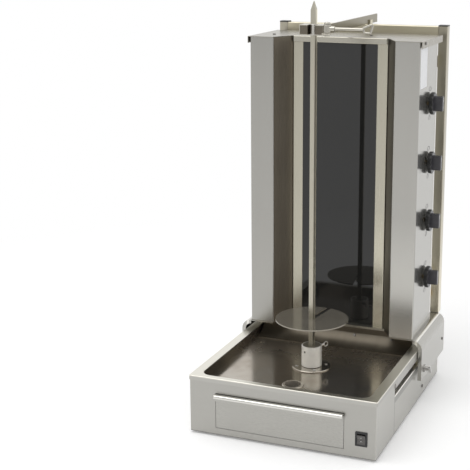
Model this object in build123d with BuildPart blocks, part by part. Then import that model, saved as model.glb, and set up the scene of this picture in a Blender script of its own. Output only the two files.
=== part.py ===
"""Vertical rotisserie broiler: a gas heater that slides on a base with a driven spit and a drip pan.

Millimetres, +Z up, +X to the right seen from the front, -Y to the front.
The origin is on the surface the feet stand on, in the middle of the footprint.
"""

import os
from math import cos, radians, sin, tan

from build123d import *

os.makedirs("parts", exist_ok=True)

# ---------------------------------------------------------------- driving dimensions
sheet = 1.5  # bent stainless sheet
inner_bend = 1  # inner radius of a fold
slide_gap = 0.3  # between a sliding or turning piece and its neighbour
bush_gap = 0.05  # radial clearance of a shaft in its bush
screw_gap = 0.1  # radial clearance of a screw in its hole

base_width = 480
base_depth = 610
base_bottom = 6  # underside of the floor plate
rim_top = 152.5  # top of the drip pan's rim
basin_depth = 24.5
side_flange = 25.5  # height of the rim's flange at the sides and the back
front_flange = 11.5
track_opening = 21  # between the side panels and the rim's flange above them
spit_setback = 223  # from the base's front face to the spit's axis
lip_reach = 14  # how far the drawer's lip stands out in front

cabinet_inset = 13  # of the cabinet's sides from the base's sides
cabinet_clearance = 27.5  # between the rim and the cabinet
cabinet_height = 772
column_inner = 163.5  # half of the free width between the columns
throat_half = 130  # half of the free width at the glass
column_setback = 146  # from the spit's axis to the columns' front faces
throat_setback = 204  # from the spit's axis to the trims beside the glass
side_back_setback = 329  # back edge of the side panels
back_setback = 354  # back cover

mast_gap = 34  # between the back cover and the mast tubes
mast_overhang = 11  # of the mast's outer faces beyond the cabinet's sides
mast_above = 21  # top of the mast tubes above the cabinet
tube = 25  # square tube of the mast
tube_wall = 1.5
arm_tail = 57  # of the arm behind the mast

bar = 12  # square spit bar
bar_turn = -9  # how far the bar is turned about its axis at rest, degrees
bar_above_bracket = 35  # from the top bracket to the shoulder of the bar's point
bar_point = 21  # height of the point

# ---------------------------------------------------------------- stations
bend = sheet + inner_bend  # outer radius of a fold
half_width = base_width / 2
mast_setback = back_setback + mast_gap
arm_end = mast_setback + tube + arm_tail
front_y = lip_reach - (lip_reach + spit_setback + arm_end) / 2
spit_y = front_y + spit_setback
back_y = front_y + base_depth
floor_top = base_bottom + sheet
rim_under = rim_top - sheet
basin_floor = rim_top - basin_depth
track_top = rim_top - side_flange - track_opening
cabinet_bottom = rim_top + cabinet_clearance
cabinet_top = cabinet_bottom + cabinet_height
cabinet_half = half_width - cabinet_inset
column_y = spit_y + column_setback
throat_y = spit_y + throat_setback
side_back_y = spit_y + side_back_setback
cabinet_back_y = spit_y + back_setback
mast_y = spit_y + mast_setback
plate_under = cabinet_bottom - sheet
mast_half = cabinet_half + mast_overhang
mast_top = cabinet_top + mast_above
at_spit = Plane((0, spit_y, 0))


def folded(path, side=1, radius=bend, thickness=sheet):
    """Section of a folded sheet: one face follows the path and has the radius, or a radius for each
    corner. The sheet lies to the left of the path, or to the right where side is -1."""
    radii = radius if isinstance(radius, list) else [radius] * (len(path) - 2)
    points = [Vector(*point) for point in path]
    along = [(b - a).normalized() for a, b in zip(points, points[1:])]
    across = [Vector(-d.Y, d.X) * side for d in along]
    corners = [
        point + (m + n) * (thickness / (1 + m.dot(n)))
        for point, m, n in zip(points[1:-1], across, across[1:])
    ]
    other_face = [points[0] + across[0] * thickness, *corners, points[-1] + across[-1] * thickness]
    turns = [side * (d.X * e.Y - d.Y * e.X) for d, e in zip(along, along[1:])]
    other_radii = [r - thickness if turn > 0 else r + thickness for r, turn in zip(radii, turns)]
    with BuildLine() as outline:
        FilletPolyline(*points, radius=radii)
        FilletPolyline(*other_face, radius=other_radii)
        Line(points[0], other_face[0])
        Line(points[-1], other_face[-1])
    make_face(outline.edges())


def save(piece, name):
    """Names a finished piece and writes it."""
    piece.label = name
    export_step(piece, f"parts/{name}.step")


# ================================================================ base

# ---- front shell: front panel with its two returns along the sides
seam_y = front_y + 158
drawer_left = 70 - half_width
drawer_right = half_width - 80
drawer_bottom = 24
drawer_front_top = rim_top - front_flange - 28
drawer_reveal = 1  # gap round the drawer's front
switch_x = half_width - 36
switch_z = 55
switch_width = 30
switch_height = 36
switch_border = 2.5  # how far the bezel's flange covers the panel

with BuildPart() as front_shell:
    with BuildSketch(Plane.XY.offset(base_bottom)):
        folded(
            [(-half_width, seam_y), (-half_width, front_y), (half_width, front_y), (half_width, seam_y)]
        )
    extrude(amount=rim_under - base_bottom)
    with BuildSketch(Plane.XZ.offset(-front_y)):
        with Locations(((drawer_left + drawer_right) / 2, (drawer_bottom + drawer_front_top) / 2)):
            Rectangle(
                drawer_right - drawer_left + 2 * drawer_reveal,
                drawer_front_top - drawer_bottom + 2 * drawer_reveal,
            )
        with Locations((switch_x, switch_z)):
            Rectangle(switch_width - 2 * switch_border, switch_height - 2 * switch_border)
    extrude(amount=-sheet, mode=Mode.SUBTRACT)
save(front_shell.part, "front_shell")

# ---- side panels behind the seam: their folded top edges are the tracks the heater slides on
track_width = 10
rear_return = 12  # the rear panel's returns, which the side panels meet
base_screw_y = column_y + 66
base_screw_z = 29
screw_radius = 2

with BuildPart() as side_panels:
    with BuildSketch(Plane.XZ.offset(-(back_y - rear_return))):
        folded([(half_width, base_bottom), (half_width, track_top), (half_width - track_width, track_top)])
    extrude(amount=back_y - rear_return - seam_y)
    with BuildSketch(Plane.YZ.offset(half_width)):
        with Locations((base_screw_y, base_screw_z)):
            Circle(screw_radius + screw_gap)
    extrude(amount=-sheet, mode=Mode.SUBTRACT)
    mirror(about=Plane.YZ)
save(side_panels.part, "side_panels")

# ---- screws in the side panels
head_radius = 4
head_height = 2
head_doming = 0.45  # share of a screw head's height that is rounded


def pan_screw(place, length, radius=screw_radius, head=head_radius, height=head_height):
    """Domed screw: its head stands on the plane and its shank runs back through it."""
    with BuildPart() as screw:
        with BuildSketch(place):
            Circle(head)
        extrude(amount=height)
        rims = screw.edges().filter_by(GeomType.CIRCLE)
        fillet(rims.sort_by(Axis(place.origin, place.z_dir))[-1], head_doming * height)
        with BuildSketch(place):
            Circle(radius)
        extrude(amount=-length)
    return screw.part


base_screw_length = 10
base_screw_places = [
    Plane((s * half_width, base_screw_y, base_screw_z), x_dir=(0, 1, 0), z_dir=(s, 0, 0)) for s in (-1, 1)
]
base_screws = Compound(children=[pan_screw(place, base_screw_length) for place in base_screw_places])
save(base_screws, "base_screws")

# ---- rear panel with vent slots and the hole for the supply inlet
gland_x = 150
gland_z = 45
gland_radius = 8
vent_count = 7
vent_pitch = 14
vent_length = 110
vent_height = 4

with BuildPart() as rear_panel:
    with BuildSketch(Plane.XY.offset(base_bottom)):
        folded(
            [
                (half_width, back_y - rear_return),
                (half_width, back_y),
                (-half_width, back_y),
                (-half_width, back_y - rear_return),
            ]
        )
    extrude(amount=track_top - base_bottom)
    with BuildSketch(Plane.XZ.offset(-back_y)):
        with Locations((0, (base_bottom + rim_under) / 2)):
            Rectangle(base_width - 2 * rear_return, rim_under - base_bottom)
    extrude(amount=sheet)
    with BuildSketch(Plane.XZ.offset(-back_y)):
        with Locations((gland_x, gland_z)):
            Circle(gland_radius + screw_gap)
        with Locations((0, (base_bottom + rim_under) / 2)):
            with GridLocations(0, vent_pitch, 1, vent_count):
                SlotOverall(vent_length, vent_height)
    extrude(amount=sheet, mode=Mode.SUBTRACT)
save(rear_panel.part, "rear_panel")

# ---- supply inlet gland in the rear panel
gland_flange = 12
gland_reach = 14

with BuildPart() as inlet_gland:
    with BuildSketch(Plane.XZ.offset(-(back_y - sheet - gland_reach))):
        with Locations((gland_x, gland_z)):
            Circle(gland_radius)
    extrude(amount=-(2 * gland_reach + sheet))
    with BuildSketch(Plane.XZ.offset(-back_y)):
        with Locations((gland_x, gland_z)):
            RegularPolygon(gland_flange, 6)
    extrude(amount=-gland_reach / 2)
    with BuildSketch(Plane.XZ.offset(-(back_y - sheet))):
        with Locations((gland_x, gland_z)):
            RegularPolygon(gland_flange, 6)
    extrude(amount=gland_reach / 2)
save(inlet_gland.part, "inlet_gland")

# ---- floor plate and feet
foot_radius = 15
foot_x = half_width - 50
foot_front_y = front_y + 38
foot_back_y = back_y - 38
foot_screw_radius = 2.5
foot_screw_head = 5
foot_screw_height = 3
foot_counterbore = 4
foot_places = [(s * foot_x, y) for s in (-1, 1) for y in (foot_front_y, foot_back_y)]

with BuildPart() as base_floor:
    with BuildSketch(Plane.XY.offset(base_bottom)):
        with Locations((0, (front_y + back_y) / 2)):
            RectangleRounded(base_width - 2 * sheet, base_depth - 2 * sheet, bend)
        with Locations(*foot_places):
            Circle(foot_screw_radius + screw_gap, mode=Mode.SUBTRACT)
    extrude(amount=sheet)
save(base_floor.part, "base_floor")

with BuildPart() as feet:
    with BuildSketch(Plane.XY):
        with Locations(*foot_places):
            Circle(foot_radius)
            Circle(foot_screw_radius + screw_gap, mode=Mode.SUBTRACT)
    extrude(amount=base_bottom)
    with BuildSketch(Plane.XY):
        with Locations(*foot_places):
            Circle(foot_screw_head + screw_gap)
    extrude(amount=foot_counterbore, mode=Mode.SUBTRACT)
save(feet.part, "feet")

foot_screw_tip = floor_top + 4
foot_screws = Compound(
    children=[
        pan_screw(
            Plane((x, y, foot_counterbore), x_dir=(1, 0, 0), z_dir=(0, 0, -1)),
            foot_screw_tip - foot_counterbore,
            foot_screw_radius,
            foot_screw_head,
            foot_screw_height,
        )
        for x, y in foot_places
    ]
)
save(foot_screws, "foot_screws")

# ---- drip pan: rim with a turned-down flange, basin, drain hole, shaft hole and rear deck
flange_gap = 0.3  # between the rim's flange and the shell inside it
rim_border = 23  # width of the rim beside the basin
basin_front_y = front_y + 14
basin_back_y = throat_y + 20
basin_corner = 25
rim_out = flange_gap + sheet
basin_half = half_width - rim_border
drain_y = spit_y - 137
drain_radius = 20
spout_wall = 1.7
drain_flange = 27
drain_flange_height = 2.5
flange_rounding = 1.5
shaft_radius = 9
shaft_hole = 20
flange_screw_circle = 38
flange_screw_count = 4
flange_screw_start = 30

with BuildPart() as drip_pan:
    rim_length = base_depth + 2 * rim_out
    with BuildSketch(Plane.XY.offset(rim_top)):
        with Locations((0, (front_y + back_y) / 2)):
            RectangleRounded(base_width + 2 * rim_out, rim_length, bend + rim_out)
    extrude(amount=-side_flange)
    fillet(drip_pan.edges().group_by(Axis.Z)[-1], sheet)
    with BuildSketch(Plane.XY.offset(rim_under)):
        with Locations((0, (front_y + back_y) / 2)):
            RectangleRounded(base_width + 2 * flange_gap, base_depth + 2 * flange_gap, bend + flange_gap)
    extrude(amount=-side_flange, mode=Mode.SUBTRACT)
    with BuildSketch(Plane.XY.offset(rim_top - front_flange)):
        with Locations((0, (front_y - rim_out + seam_y) / 2)):
            Rectangle(base_width + 4 * rim_out, seam_y - front_y + rim_out)
    extrude(amount=-side_flange, mode=Mode.SUBTRACT)
    with BuildSketch(Plane.XY.offset(basin_floor - sheet)):
        with Locations((0, (basin_front_y + basin_back_y) / 2)):
            RectangleRounded(
                2 * (basin_half + sheet), basin_back_y - basin_front_y + 2 * sheet, basin_corner + sheet
            )
    extrude(amount=rim_under - basin_floor + sheet)
    with BuildSketch(Plane.XY.offset(basin_floor)):
        with Locations((0, (basin_front_y + basin_back_y) / 2)):
            RectangleRounded(2 * basin_half, basin_back_y - basin_front_y, basin_corner)
    extrude(amount=rim_top - basin_floor, mode=Mode.SUBTRACT)
    with BuildSketch(Plane.XY.offset(basin_floor)):
        with Locations((0, drain_y)):
            Circle(drain_radius + spout_wall + screw_gap)
        with Locations((0, spit_y)):
            Circle(shaft_hole)
            with PolarLocations(flange_screw_circle, flange_screw_count, flange_screw_start):
                Circle(screw_radius + screw_gap)
    extrude(amount=-sheet, mode=Mode.SUBTRACT)
save(drip_pan.part, "drip_pan")

# ---- drain spout: a flanged tube let into the pan's floor
spout_bottom = basin_floor - 20
with BuildPart() as drain_spout:
    with BuildSketch(Plane.XY.offset(basin_floor)):
        with Locations((0, drain_y)):
            Circle(drain_flange)
    extrude(amount=drain_flange_height)
    fillet(drain_spout.edges().group_by(Axis.Z)[-1], flange_rounding)
    with BuildSketch(Plane.XY.offset(basin_floor)):
        with Locations((0, drain_y)):
            Circle(drain_radius + spout_wall)
    extrude(amount=spout_bottom - basin_floor)
    with BuildSketch(Plane.XY.offset(spout_bottom)):
        with Locations((0, drain_y)):
            Circle(drain_radius)
    extrude(amount=basin_floor + drain_flange_height - spout_bottom, mode=Mode.SUBTRACT)
save(drain_spout.part, "drain_spout")

# ---- motor flange on the pan's floor, screwed through it into the gearbox
motor_flange_radius = 50
motor_flange_height = 3
edge_break = 1  # chamfer of turned pieces
seal_gap = 0.3
with BuildPart() as motor_flange:
    with BuildSketch(Plane.XY.offset(basin_floor)):
        with Locations((0, spit_y)):
            Circle(motor_flange_radius)
            Circle(shaft_radius + seal_gap, mode=Mode.SUBTRACT)
            with PolarLocations(flange_screw_circle, flange_screw_count, flange_screw_start):
                Circle(screw_radius + screw_gap, mode=Mode.SUBTRACT)
    extrude(amount=motor_flange_height)
    chamfer(motor_flange.edges().group_by(Axis.Z)[-1].sort_by(SortBy.RADIUS)[-1], edge_break)
save(motor_flange.part, "motor_flange")

flange_screw_length = 16
flange_screw_seat = Vector(0, spit_y, basin_floor + motor_flange_height)
flange_screw_places = PolarLocations(flange_screw_circle, flange_screw_count, flange_screw_start)
flange_screws = Compound(
    children=[
        pan_screw(Plane(place.position + flange_screw_seat), flange_screw_length)
        for place in flange_screw_places.locations
    ]
)
save(flange_screws, "flange_screws")

# ---- gear motor under the pan: gearbox, motor can and the bracket that stands on the floor
gearbox_top = basin_floor - sheet
gearbox_bottom = gearbox_top - 60.5
gearbox_half = 45
gearbox_corner = 8
shaft_bottom = gearbox_bottom + 8
motor_radius = 27
motor_length = 105
motor_rounding = 4
motor_z = gearbox_bottom + motor_radius + 2

with BuildPart() as gearbox:
    with BuildSketch(Plane.XY.offset(gearbox_bottom)):
        with Locations((0, spit_y)):
            RectangleRounded(2 * gearbox_half, 2 * gearbox_half, gearbox_corner)
    extrude(amount=gearbox_top - gearbox_bottom)
    with BuildSketch(Plane.XY.offset(gearbox_top)):
        with Locations((0, spit_y)):
            Circle(shaft_radius + bush_gap)
    extrude(amount=shaft_bottom - slide_gap - gearbox_top, mode=Mode.SUBTRACT)
    with BuildSketch(Plane.XY.offset(gearbox_top)):
        with Locations((0, spit_y)):
            with PolarLocations(flange_screw_circle, flange_screw_count, flange_screw_start):
                Circle(screw_radius + screw_gap)
    extrude(amount=-flange_screw_length, mode=Mode.SUBTRACT)
save(gearbox.part, "gearbox")

with BuildPart() as drive_motor:
    with BuildSketch(Plane.XZ.offset(-(spit_y + gearbox_half))):
        with Locations((0, motor_z)):
            Circle(motor_radius)
    extrude(amount=-motor_length)
    fillet(drive_motor.edges().group_by(Axis.Y)[-1], motor_rounding)
save(drive_motor.part, "drive_motor")

stand_wall = 2.5
stand_half = gearbox_half - 5
stand_foot = 20
with BuildPart() as motor_bracket:
    with BuildSketch(Plane.XZ.offset(-(spit_y + gearbox_half))):
        folded(
            [
                (-stand_half - stand_foot, floor_top + stand_wall),
                (-stand_half, floor_top + stand_wall),
                (-stand_half, gearbox_bottom),
                (stand_half, gearbox_bottom),
                (stand_half, floor_top + stand_wall),
                (stand_half + stand_foot, floor_top + stand_wall),
            ],
            -1,
            stand_wall,
            stand_wall,
        )
    extrude(amount=2 * gearbox_half)
save(motor_bracket.part, "motor_bracket")

# ---- guide rails: channels on the floor that carry the pan and steer the slide blocks
rail_face = basin_half + 4.5
rail_flange = 21
rail_end_gap = 10
with BuildPart() as guide_rails:
    with BuildSketch(Plane.XZ.offset(-(back_y - rail_end_gap))):
        folded(
            [
                (rail_face - rail_flange, floor_top),
                (rail_face, floor_top),
                (rail_face, basin_floor - sheet),
                (rail_face - rail_flange, basin_floor - sheet),
            ]
        )
    extrude(amount=base_depth - 2 * rail_end_gap)
    mirror(about=Plane.YZ)
save(guide_rails.part, "guide_rails")

# ---- switch bezel in the front panel
switch_depth = 20
bezel_height = 2
bezel_wall = 2
rocker_gap = 0.5
rocker_pivot = 6  # depth of the pivot behind the panel's face
trunnion_radius = 1.5
trunnion_reach = 1  # of the rocker's trunnions into the bezel's walls
rocker_room = switch_width - 2 * (switch_border + screw_gap + bezel_wall)
rocker_width = rocker_room - 2 * rocker_gap
trunnion_length = rocker_room + 2 * trunnion_reach
with BuildPart() as switch_bezel:
    with BuildSketch(Plane.XZ.offset(-front_y)):
        with Locations((switch_x, switch_z)):
            RectangleRounded(switch_width, switch_height, 2)
    extrude(amount=bezel_height)
    body_width = switch_width - 2 * switch_border - 2 * screw_gap
    body_height = switch_height - 2 * switch_border - 2 * screw_gap
    with BuildSketch(Plane.XZ.offset(-front_y)):
        with Locations((switch_x, switch_z)):
            Rectangle(body_width, body_height)
    extrude(amount=-switch_depth)
    with BuildSketch(Plane.XZ.offset(-front_y + bezel_height)):
        with Locations((switch_x, switch_z)):
            Rectangle(rocker_room, body_height - 2 * bezel_wall)
    extrude(amount=-(switch_depth + bezel_height - bezel_wall), mode=Mode.SUBTRACT)
    with BuildSketch(Plane.YZ.offset(switch_x - trunnion_length / 2)):
        with Locations((front_y + rocker_pivot, switch_z)):
            Circle(trunnion_radius + bush_gap)
    extrude(amount=trunnion_length, mode=Mode.SUBTRACT)
save(switch_bezel.part, "switch_bezel")

# ---- rocker: two faces that meet in a shallow V, tilted so that its upper half stands proud. It
# turns on two trunnions in the bezel's walls
rocker_half = body_height / 2 - bezel_wall - 1.5
rocker_base_half = rocker_half * 0.75
rocker_rise = 3.5
rocker_depth = 12
rocker_tilt = 8
with BuildPart() as switch_rocker:
    with BuildSketch(Plane.YZ.offset(switch_x - rocker_width / 2)):
        with BuildLine():
            pivot_y = front_y + rocker_pivot
            tip_y = front_y - bezel_height - rocker_rise / 2
            Polyline(
                (tip_y, switch_z - rocker_half),
                (tip_y + rocker_rise, switch_z),
                (tip_y, switch_z + rocker_half),
                (pivot_y, switch_z + rocker_base_half),
                (pivot_y + rocker_depth - rocker_pivot, switch_z),
                (pivot_y, switch_z - rocker_base_half),
                close=True,
            )
        make_face()
    extrude(amount=rocker_width)
    with BuildSketch(Plane.YZ.offset(switch_x - trunnion_length / 2)):
        with Locations((pivot_y, switch_z)):
            Circle(trunnion_radius)
    extrude(amount=trunnion_length)
rocker_axis = Axis((0, front_y + rocker_pivot, switch_z), (1, 0, 0))
save(switch_rocker.part.rotate(rocker_axis, rocker_tilt), "switch_rocker")

# ================================================================ grease drawer
drawer_back_y = spit_y - 78
drawer_wall = 1.2
drawer_wall_top = drawer_front_top - 13
drawer_floor = drawer_bottom + 2
drawer_corner = 6
drawer_side_gap = 4
lip_drop = 14
lip_bend = 5  # outer radius of the lip's nose

with BuildPart() as drawer_front:
    with BuildSketch(Plane.YZ.offset(drawer_left)):
        folded(
            [
                (front_y, drawer_bottom),
                (front_y, drawer_front_top - sheet),
                (front_y - lip_reach + sheet, drawer_front_top - sheet),
                (front_y - lip_reach + sheet, drawer_front_top - lip_drop),
            ],
            -1,
            [bend, lip_bend - sheet],
        )
    extrude(amount=drawer_right - drawer_left)
save(drawer_front.part, "drawer_front")

with BuildPart() as drawer_box:
    box_front_y = front_y + sheet
    with BuildSketch(Plane.XY.offset(drawer_floor)):
        with Locations(((drawer_left + drawer_right) / 2, (box_front_y + drawer_back_y) / 2)):
            Rectangle(drawer_right - drawer_left - 2 * drawer_side_gap, drawer_back_y - box_front_y)
    extrude(amount=drawer_wall_top - drawer_floor)
    fillet(drawer_box.edges().filter_by(Axis.Z).group_by(Axis.Y)[-1], drawer_corner)
    offset(amount=-drawer_wall, openings=drawer_box.faces().sort_by(Axis.Z)[-1])
save(drawer_box.part, "drawer_box")

# ---- drawer runners: two channels on the floor plate under the drawer's edges
runner_inset = 20
runner_width = 18
runner_bend = sheet + 0.5
runner_front_y = front_y + 10
runner_back_y = drawer_back_y - 5
with BuildPart() as drawer_runners:
    with BuildSketch(Plane.XZ.offset(-runner_back_y)):
        for x in (drawer_left + runner_inset, drawer_right - runner_inset - runner_width):
            folded(
                [
                    (x + runner_width, floor_top),
                    (x, floor_top),
                    (x, drawer_floor - slide_gap),
                    (x + runner_width, drawer_floor - slide_gap),
                ],
                -1,
                runner_bend,
            )
    extrude(amount=runner_back_y - runner_front_y)
save(drawer_runners.part, "drawer_runners")

# ================================================================ spit

bar_corner = bar / 2**0.5
hub_radius = 26
hub_bottom = basin_floor + motor_flange_height + 0.6
hub_top = hub_bottom + 54.9
socket_floor = hub_top - 28.5
shaft_top = socket_floor - 3
socket_gap = 0.1
pin_angle = 50
pin_z = hub_top - 5.5
pin_radius = 2.5
pin_tip = 3
set_screw_angle = -115
set_screw_z = hub_top - 14.5
set_screw_radius = 3
set_screw_hex = 1.7
set_screw_sink = 3  # how deep the screw lies in the hub
bar_plane = Plane((0, spit_y, 0), x_dir=(cos(radians(bar_turn)), sin(radians(bar_turn)), 0))


def radial(angle, height, reach=0):
    """Plane whose normal points away from the spit's axis at an angle, at a height and a radius."""
    out = Vector(cos(radians(angle)), sin(radians(angle)), 0)
    return Plane(Vector(0, spit_y, height) + out * reach, x_dir=(-out.Y, out.X, 0), z_dir=out)


with BuildPart() as drive_hub:
    with BuildSketch(at_spit.offset(hub_bottom)):
        Circle(hub_radius)
    extrude(amount=hub_top - hub_bottom)
    chamfer(drive_hub.edges(), edge_break)
    with BuildSketch(bar_plane.offset(socket_floor)):
        Rectangle(bar + 2 * socket_gap, bar + 2 * socket_gap)
    extrude(amount=hub_top - socket_floor, mode=Mode.SUBTRACT)
    with BuildSketch(at_spit.offset(hub_bottom)):
        Circle(shaft_radius + bush_gap)
    extrude(amount=shaft_top - hub_bottom, mode=Mode.SUBTRACT)
    with BuildSketch(radial(pin_angle, pin_z)):
        Circle(pin_radius + bush_gap)
    extrude(amount=2 * hub_radius, mode=Mode.SUBTRACT)
    with BuildSketch(radial(set_screw_angle, set_screw_z)):
        Circle(set_screw_radius + bush_gap)
    extrude(amount=2 * hub_radius, mode=Mode.SUBTRACT)
save(drive_hub.part, "drive_hub")

with BuildPart() as hub_set_screw:
    screw_start = bar / 2 + socket_gap + 1.2
    with BuildSketch(radial(set_screw_angle, set_screw_z, screw_start)):
        Circle(set_screw_radius)
    extrude(amount=hub_radius - set_screw_sink - screw_start)
    with BuildSketch(radial(set_screw_angle, set_screw_z, hub_radius - set_screw_sink)):
        RegularPolygon(set_screw_hex, 6)
    extrude(amount=-set_screw_radius, mode=Mode.SUBTRACT)
save(hub_set_screw.part, "hub_set_screw")

with BuildPart() as output_shaft:
    with BuildSketch(at_spit.offset(shaft_bottom)):
        Circle(shaft_radius)
    extrude(amount=shaft_top - shaft_bottom)
save(output_shaft.part, "output_shaft")

# ---- sleeve near the bar's top that turns in the bracket
journal_wall = 1.4
journal_radius = bar_corner + journal_wall
bracket_rise = 3  # of the bracket's underside above the mast
bracket_height = 24
bracket_bottom = mast_top + bracket_rise
bracket_top = bracket_bottom + bracket_height
journal_bottom = bracket_bottom - 1.5
journal_top = bracket_top + 1.5
journal_break = 0.6
with BuildPart() as top_journal:
    with BuildSketch(at_spit.offset(journal_bottom)):
        Circle(journal_radius)
    extrude(amount=journal_top - journal_bottom)
    chamfer(top_journal.edges(), journal_break)
    with BuildSketch(bar_plane.offset(journal_bottom)):
        Rectangle(bar, bar)
    extrude(amount=journal_top - journal_bottom, mode=Mode.SUBTRACT)
save(top_journal.part, "top_journal")

# ---- square bar with its point
bar_shoulder = bracket_top + bar_above_bracket
bar_tip = bar_shoulder + bar_point
tip_width = 1.2
with BuildPart() as spit_bar:
    with BuildSketch(bar_plane.offset(socket_floor)):
        Rectangle(bar, bar)
    extrude(amount=bar_shoulder - socket_floor)
    with BuildSketch(bar_plane.offset(bar_shoulder)):
        Rectangle(bar, bar)
    with BuildSketch(bar_plane.offset(bar_tip)):
        Rectangle(tip_width, tip_width)
    loft()
    with BuildSketch(radial(pin_angle, pin_z)):
        Circle(pin_radius + bush_gap)
    extrude(amount=bar, mode=Mode.SUBTRACT)
save(spit_bar.part, "spit_bar")

# ---- ring pin that holds the bar in the hub
ring_radius = 6
ring_wire = 1.3
pin_head_radius = 3.6
pin_head_start = hub_radius + 1
pin_head_end = 37
ring_reach = pin_head_end + ring_radius - 1
with BuildPart() as hub_pin:
    with BuildSketch(radial(pin_angle, pin_z, pin_tip)):
        Circle(pin_radius)
    extrude(amount=pin_head_end - pin_tip)
    with BuildSketch(radial(pin_angle, pin_z, pin_head_start)):
        Circle(pin_head_radius)
    extrude(amount=pin_head_end - pin_head_start)
    pin_end = radial(pin_angle, pin_z, ring_reach)
    with Locations(Plane(pin_end.origin, x_dir=pin_end.z_dir, z_dir=pin_end.x_dir)):
        Torus(ring_radius, ring_wire)
save(hub_pin.part, "hub_pin")

# ---- meat disc with its keyhole slot, and the collar that holds it on the bar
disc_radius = 93
disc_z = hub_top + 68
disc_thickness = 3
disc_slot = bar + 1
collar_wall = 5.4
collar_radius = bar_corner + collar_wall
collar_height = 15
collar_gap = 0.4
with BuildPart() as meat_disc:
    with BuildSketch(bar_plane.offset(disc_z)):
        Circle(disc_radius)
        with Locations((0, disc_radius / 2)):
            Rectangle(disc_slot, disc_radius + disc_slot, mode=Mode.SUBTRACT)
    extrude(amount=disc_thickness)
save(meat_disc.part, "meat_disc")

disc_screw_angle = bar_turn + 180
disc_screw_radius = 3
disc_screw_neck = 4
disc_screw_head = 5
with BuildPart() as disc_collar:
    with BuildSketch(bar_plane.offset(disc_z)):
        Circle(collar_radius)
        Rectangle(bar + 2 * collar_gap, bar + 2 * collar_gap, mode=Mode.SUBTRACT)
    extrude(amount=-collar_height)
    with BuildSketch(radial(disc_screw_angle, disc_z - collar_height / 2, bar / 2 + collar_gap)):
        Circle(disc_screw_radius)
    extrude(amount=collar_radius + disc_screw_neck - bar / 2)
    with BuildSketch(radial(disc_screw_angle, disc_z - collar_height / 2, collar_radius + disc_screw_neck)):
        Circle(2 * disc_screw_radius)
    extrude(amount=disc_screw_head)
save(disc_collar.part, "disc_collar")

# ================================================================ heater

# ---- columns: bent covers at both sides, each with its front face, its angled wing beside the
# glass, its side panel and a return behind the glass; the right one carries the gas valves
side_return = 12
burner_front_y = throat_y + 32
knob_y = burner_front_y + 23
knob_count = 4
knob_first_z = cabinet_bottom + 140.5
knob_last_z = cabinet_top - 165.9
knob_pitch = (knob_last_z - knob_first_z) / (knob_count - 1)
knob_heights = [knob_first_z + i * knob_pitch for i in range(knob_count)]
valve_nose = 6  # radius of the valve's threaded nose in the side panel
valve_inner_x = cabinet_half - 34
pipe_radius = 4
pipe_clearance = 1
lid_screw_y = column_y + 29
lid_screw_z = cabinet_top - 5
lid_top_screws = [(39 - cabinet_half, column_y + 72), (throat_half / 2, throat_y + 62)]

column_path = [
    (throat_half, side_back_y - sheet),
    (throat_half, throat_y),
    (column_inner, column_y),
    (cabinet_half, column_y),
    (cabinet_half, side_back_y),
    (cabinet_half - side_return, side_back_y),
]


def column_blank():
    """The bent cover of the right-hand column, before its holes."""
    with BuildPart() as blank:
        with BuildSketch(Plane.XY.offset(cabinet_bottom)):
            folded(column_path)
        extrude(amount=cabinet_height)
        with BuildSketch(Plane.YZ.offset(cabinet_half)):
            with Locations((lid_screw_y, lid_screw_z)):
                Circle(screw_radius + screw_gap)
        extrude(amount=-2 * sheet, mode=Mode.SUBTRACT)
    return blank.part


with BuildPart() as column_left:
    add(mirror(column_blank(), about=Plane.YZ))
save(column_left.part, "column_left")

with BuildPart() as column_right:
    add(column_blank())
    with BuildSketch(Plane.YZ.offset(cabinet_half)):
        with Locations(*[(knob_y, z) for z in knob_heights]):
            Circle(valve_nose + screw_gap)
    extrude(amount=-2 * sheet, mode=Mode.SUBTRACT)
    with BuildSketch(Plane.YZ.offset(throat_half)):
        with Locations(*[(knob_y, z) for z in knob_heights]):
            Circle(pipe_radius + pipe_clearance)
    extrude(amount=2 * sheet, mode=Mode.SUBTRACT)
save(column_right.part, "column_right")

# ---- back cover: a shallow tray between the side panels, with the hole for the gas inlet
back_cover_half = cabinet_half - 9
inlet_x = valve_inner_x + 3
inlet_z = cabinet_bottom + 45
manifold_radius = 8
cover_vents = 5
with BuildPart() as back_cover:
    with BuildSketch(Plane.XY.offset(cabinet_bottom)):
        folded(
            [
                (back_cover_half, side_back_y),
                (back_cover_half, cabinet_back_y),
                (-back_cover_half, cabinet_back_y),
                (-back_cover_half, side_back_y),
            ]
        )
    extrude(amount=cabinet_height)
    with BuildSketch(Plane.XZ.offset(-cabinet_back_y)):
        with Locations((inlet_x, inlet_z)):
            Circle(manifold_radius + pipe_clearance)
        with Locations(*[(0, z) for z in knob_heights]):
            with GridLocations(0, vent_pitch, 1, cover_vents):
                SlotOverall(vent_length, vent_height)
    extrude(amount=2 * sheet, mode=Mode.SUBTRACT)
save(back_cover.part, "back_cover")

# ---- bottom plate that everything in the cabinet stands on, with a folded lip under each column
plate_lip = 4
lip_stop = basin_half - 5  # where the lips end beside the skirts
with BuildPart() as bottom_plate:
    with BuildSketch(Plane.XY.offset(plate_under)):
        with BuildLine():
            Polyline(
                (-back_cover_half, cabinet_back_y),
                (-back_cover_half, side_back_y),
                (-cabinet_half, side_back_y),
                (-cabinet_half, column_y),
                (-column_inner, column_y),
                (-throat_half, throat_y),
                (throat_half, throat_y),
                (column_inner, column_y),
                (cabinet_half, column_y),
                (cabinet_half, side_back_y),
                (back_cover_half, side_back_y),
                (back_cover_half, cabinet_back_y),
                close=True,
            )
        make_face()
    extrude(amount=sheet)
    with BuildSketch(Plane.XZ.offset(-column_y)):
        for s in (-1, 1):
            with Locations((s * (column_inner + lip_stop) / 2, cabinet_bottom - plate_lip / 2)):
                Rectangle(lip_stop - column_inner, plate_lip)
    extrude(amount=sheet)
save(bottom_plate.part, "bottom_plate")

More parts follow.
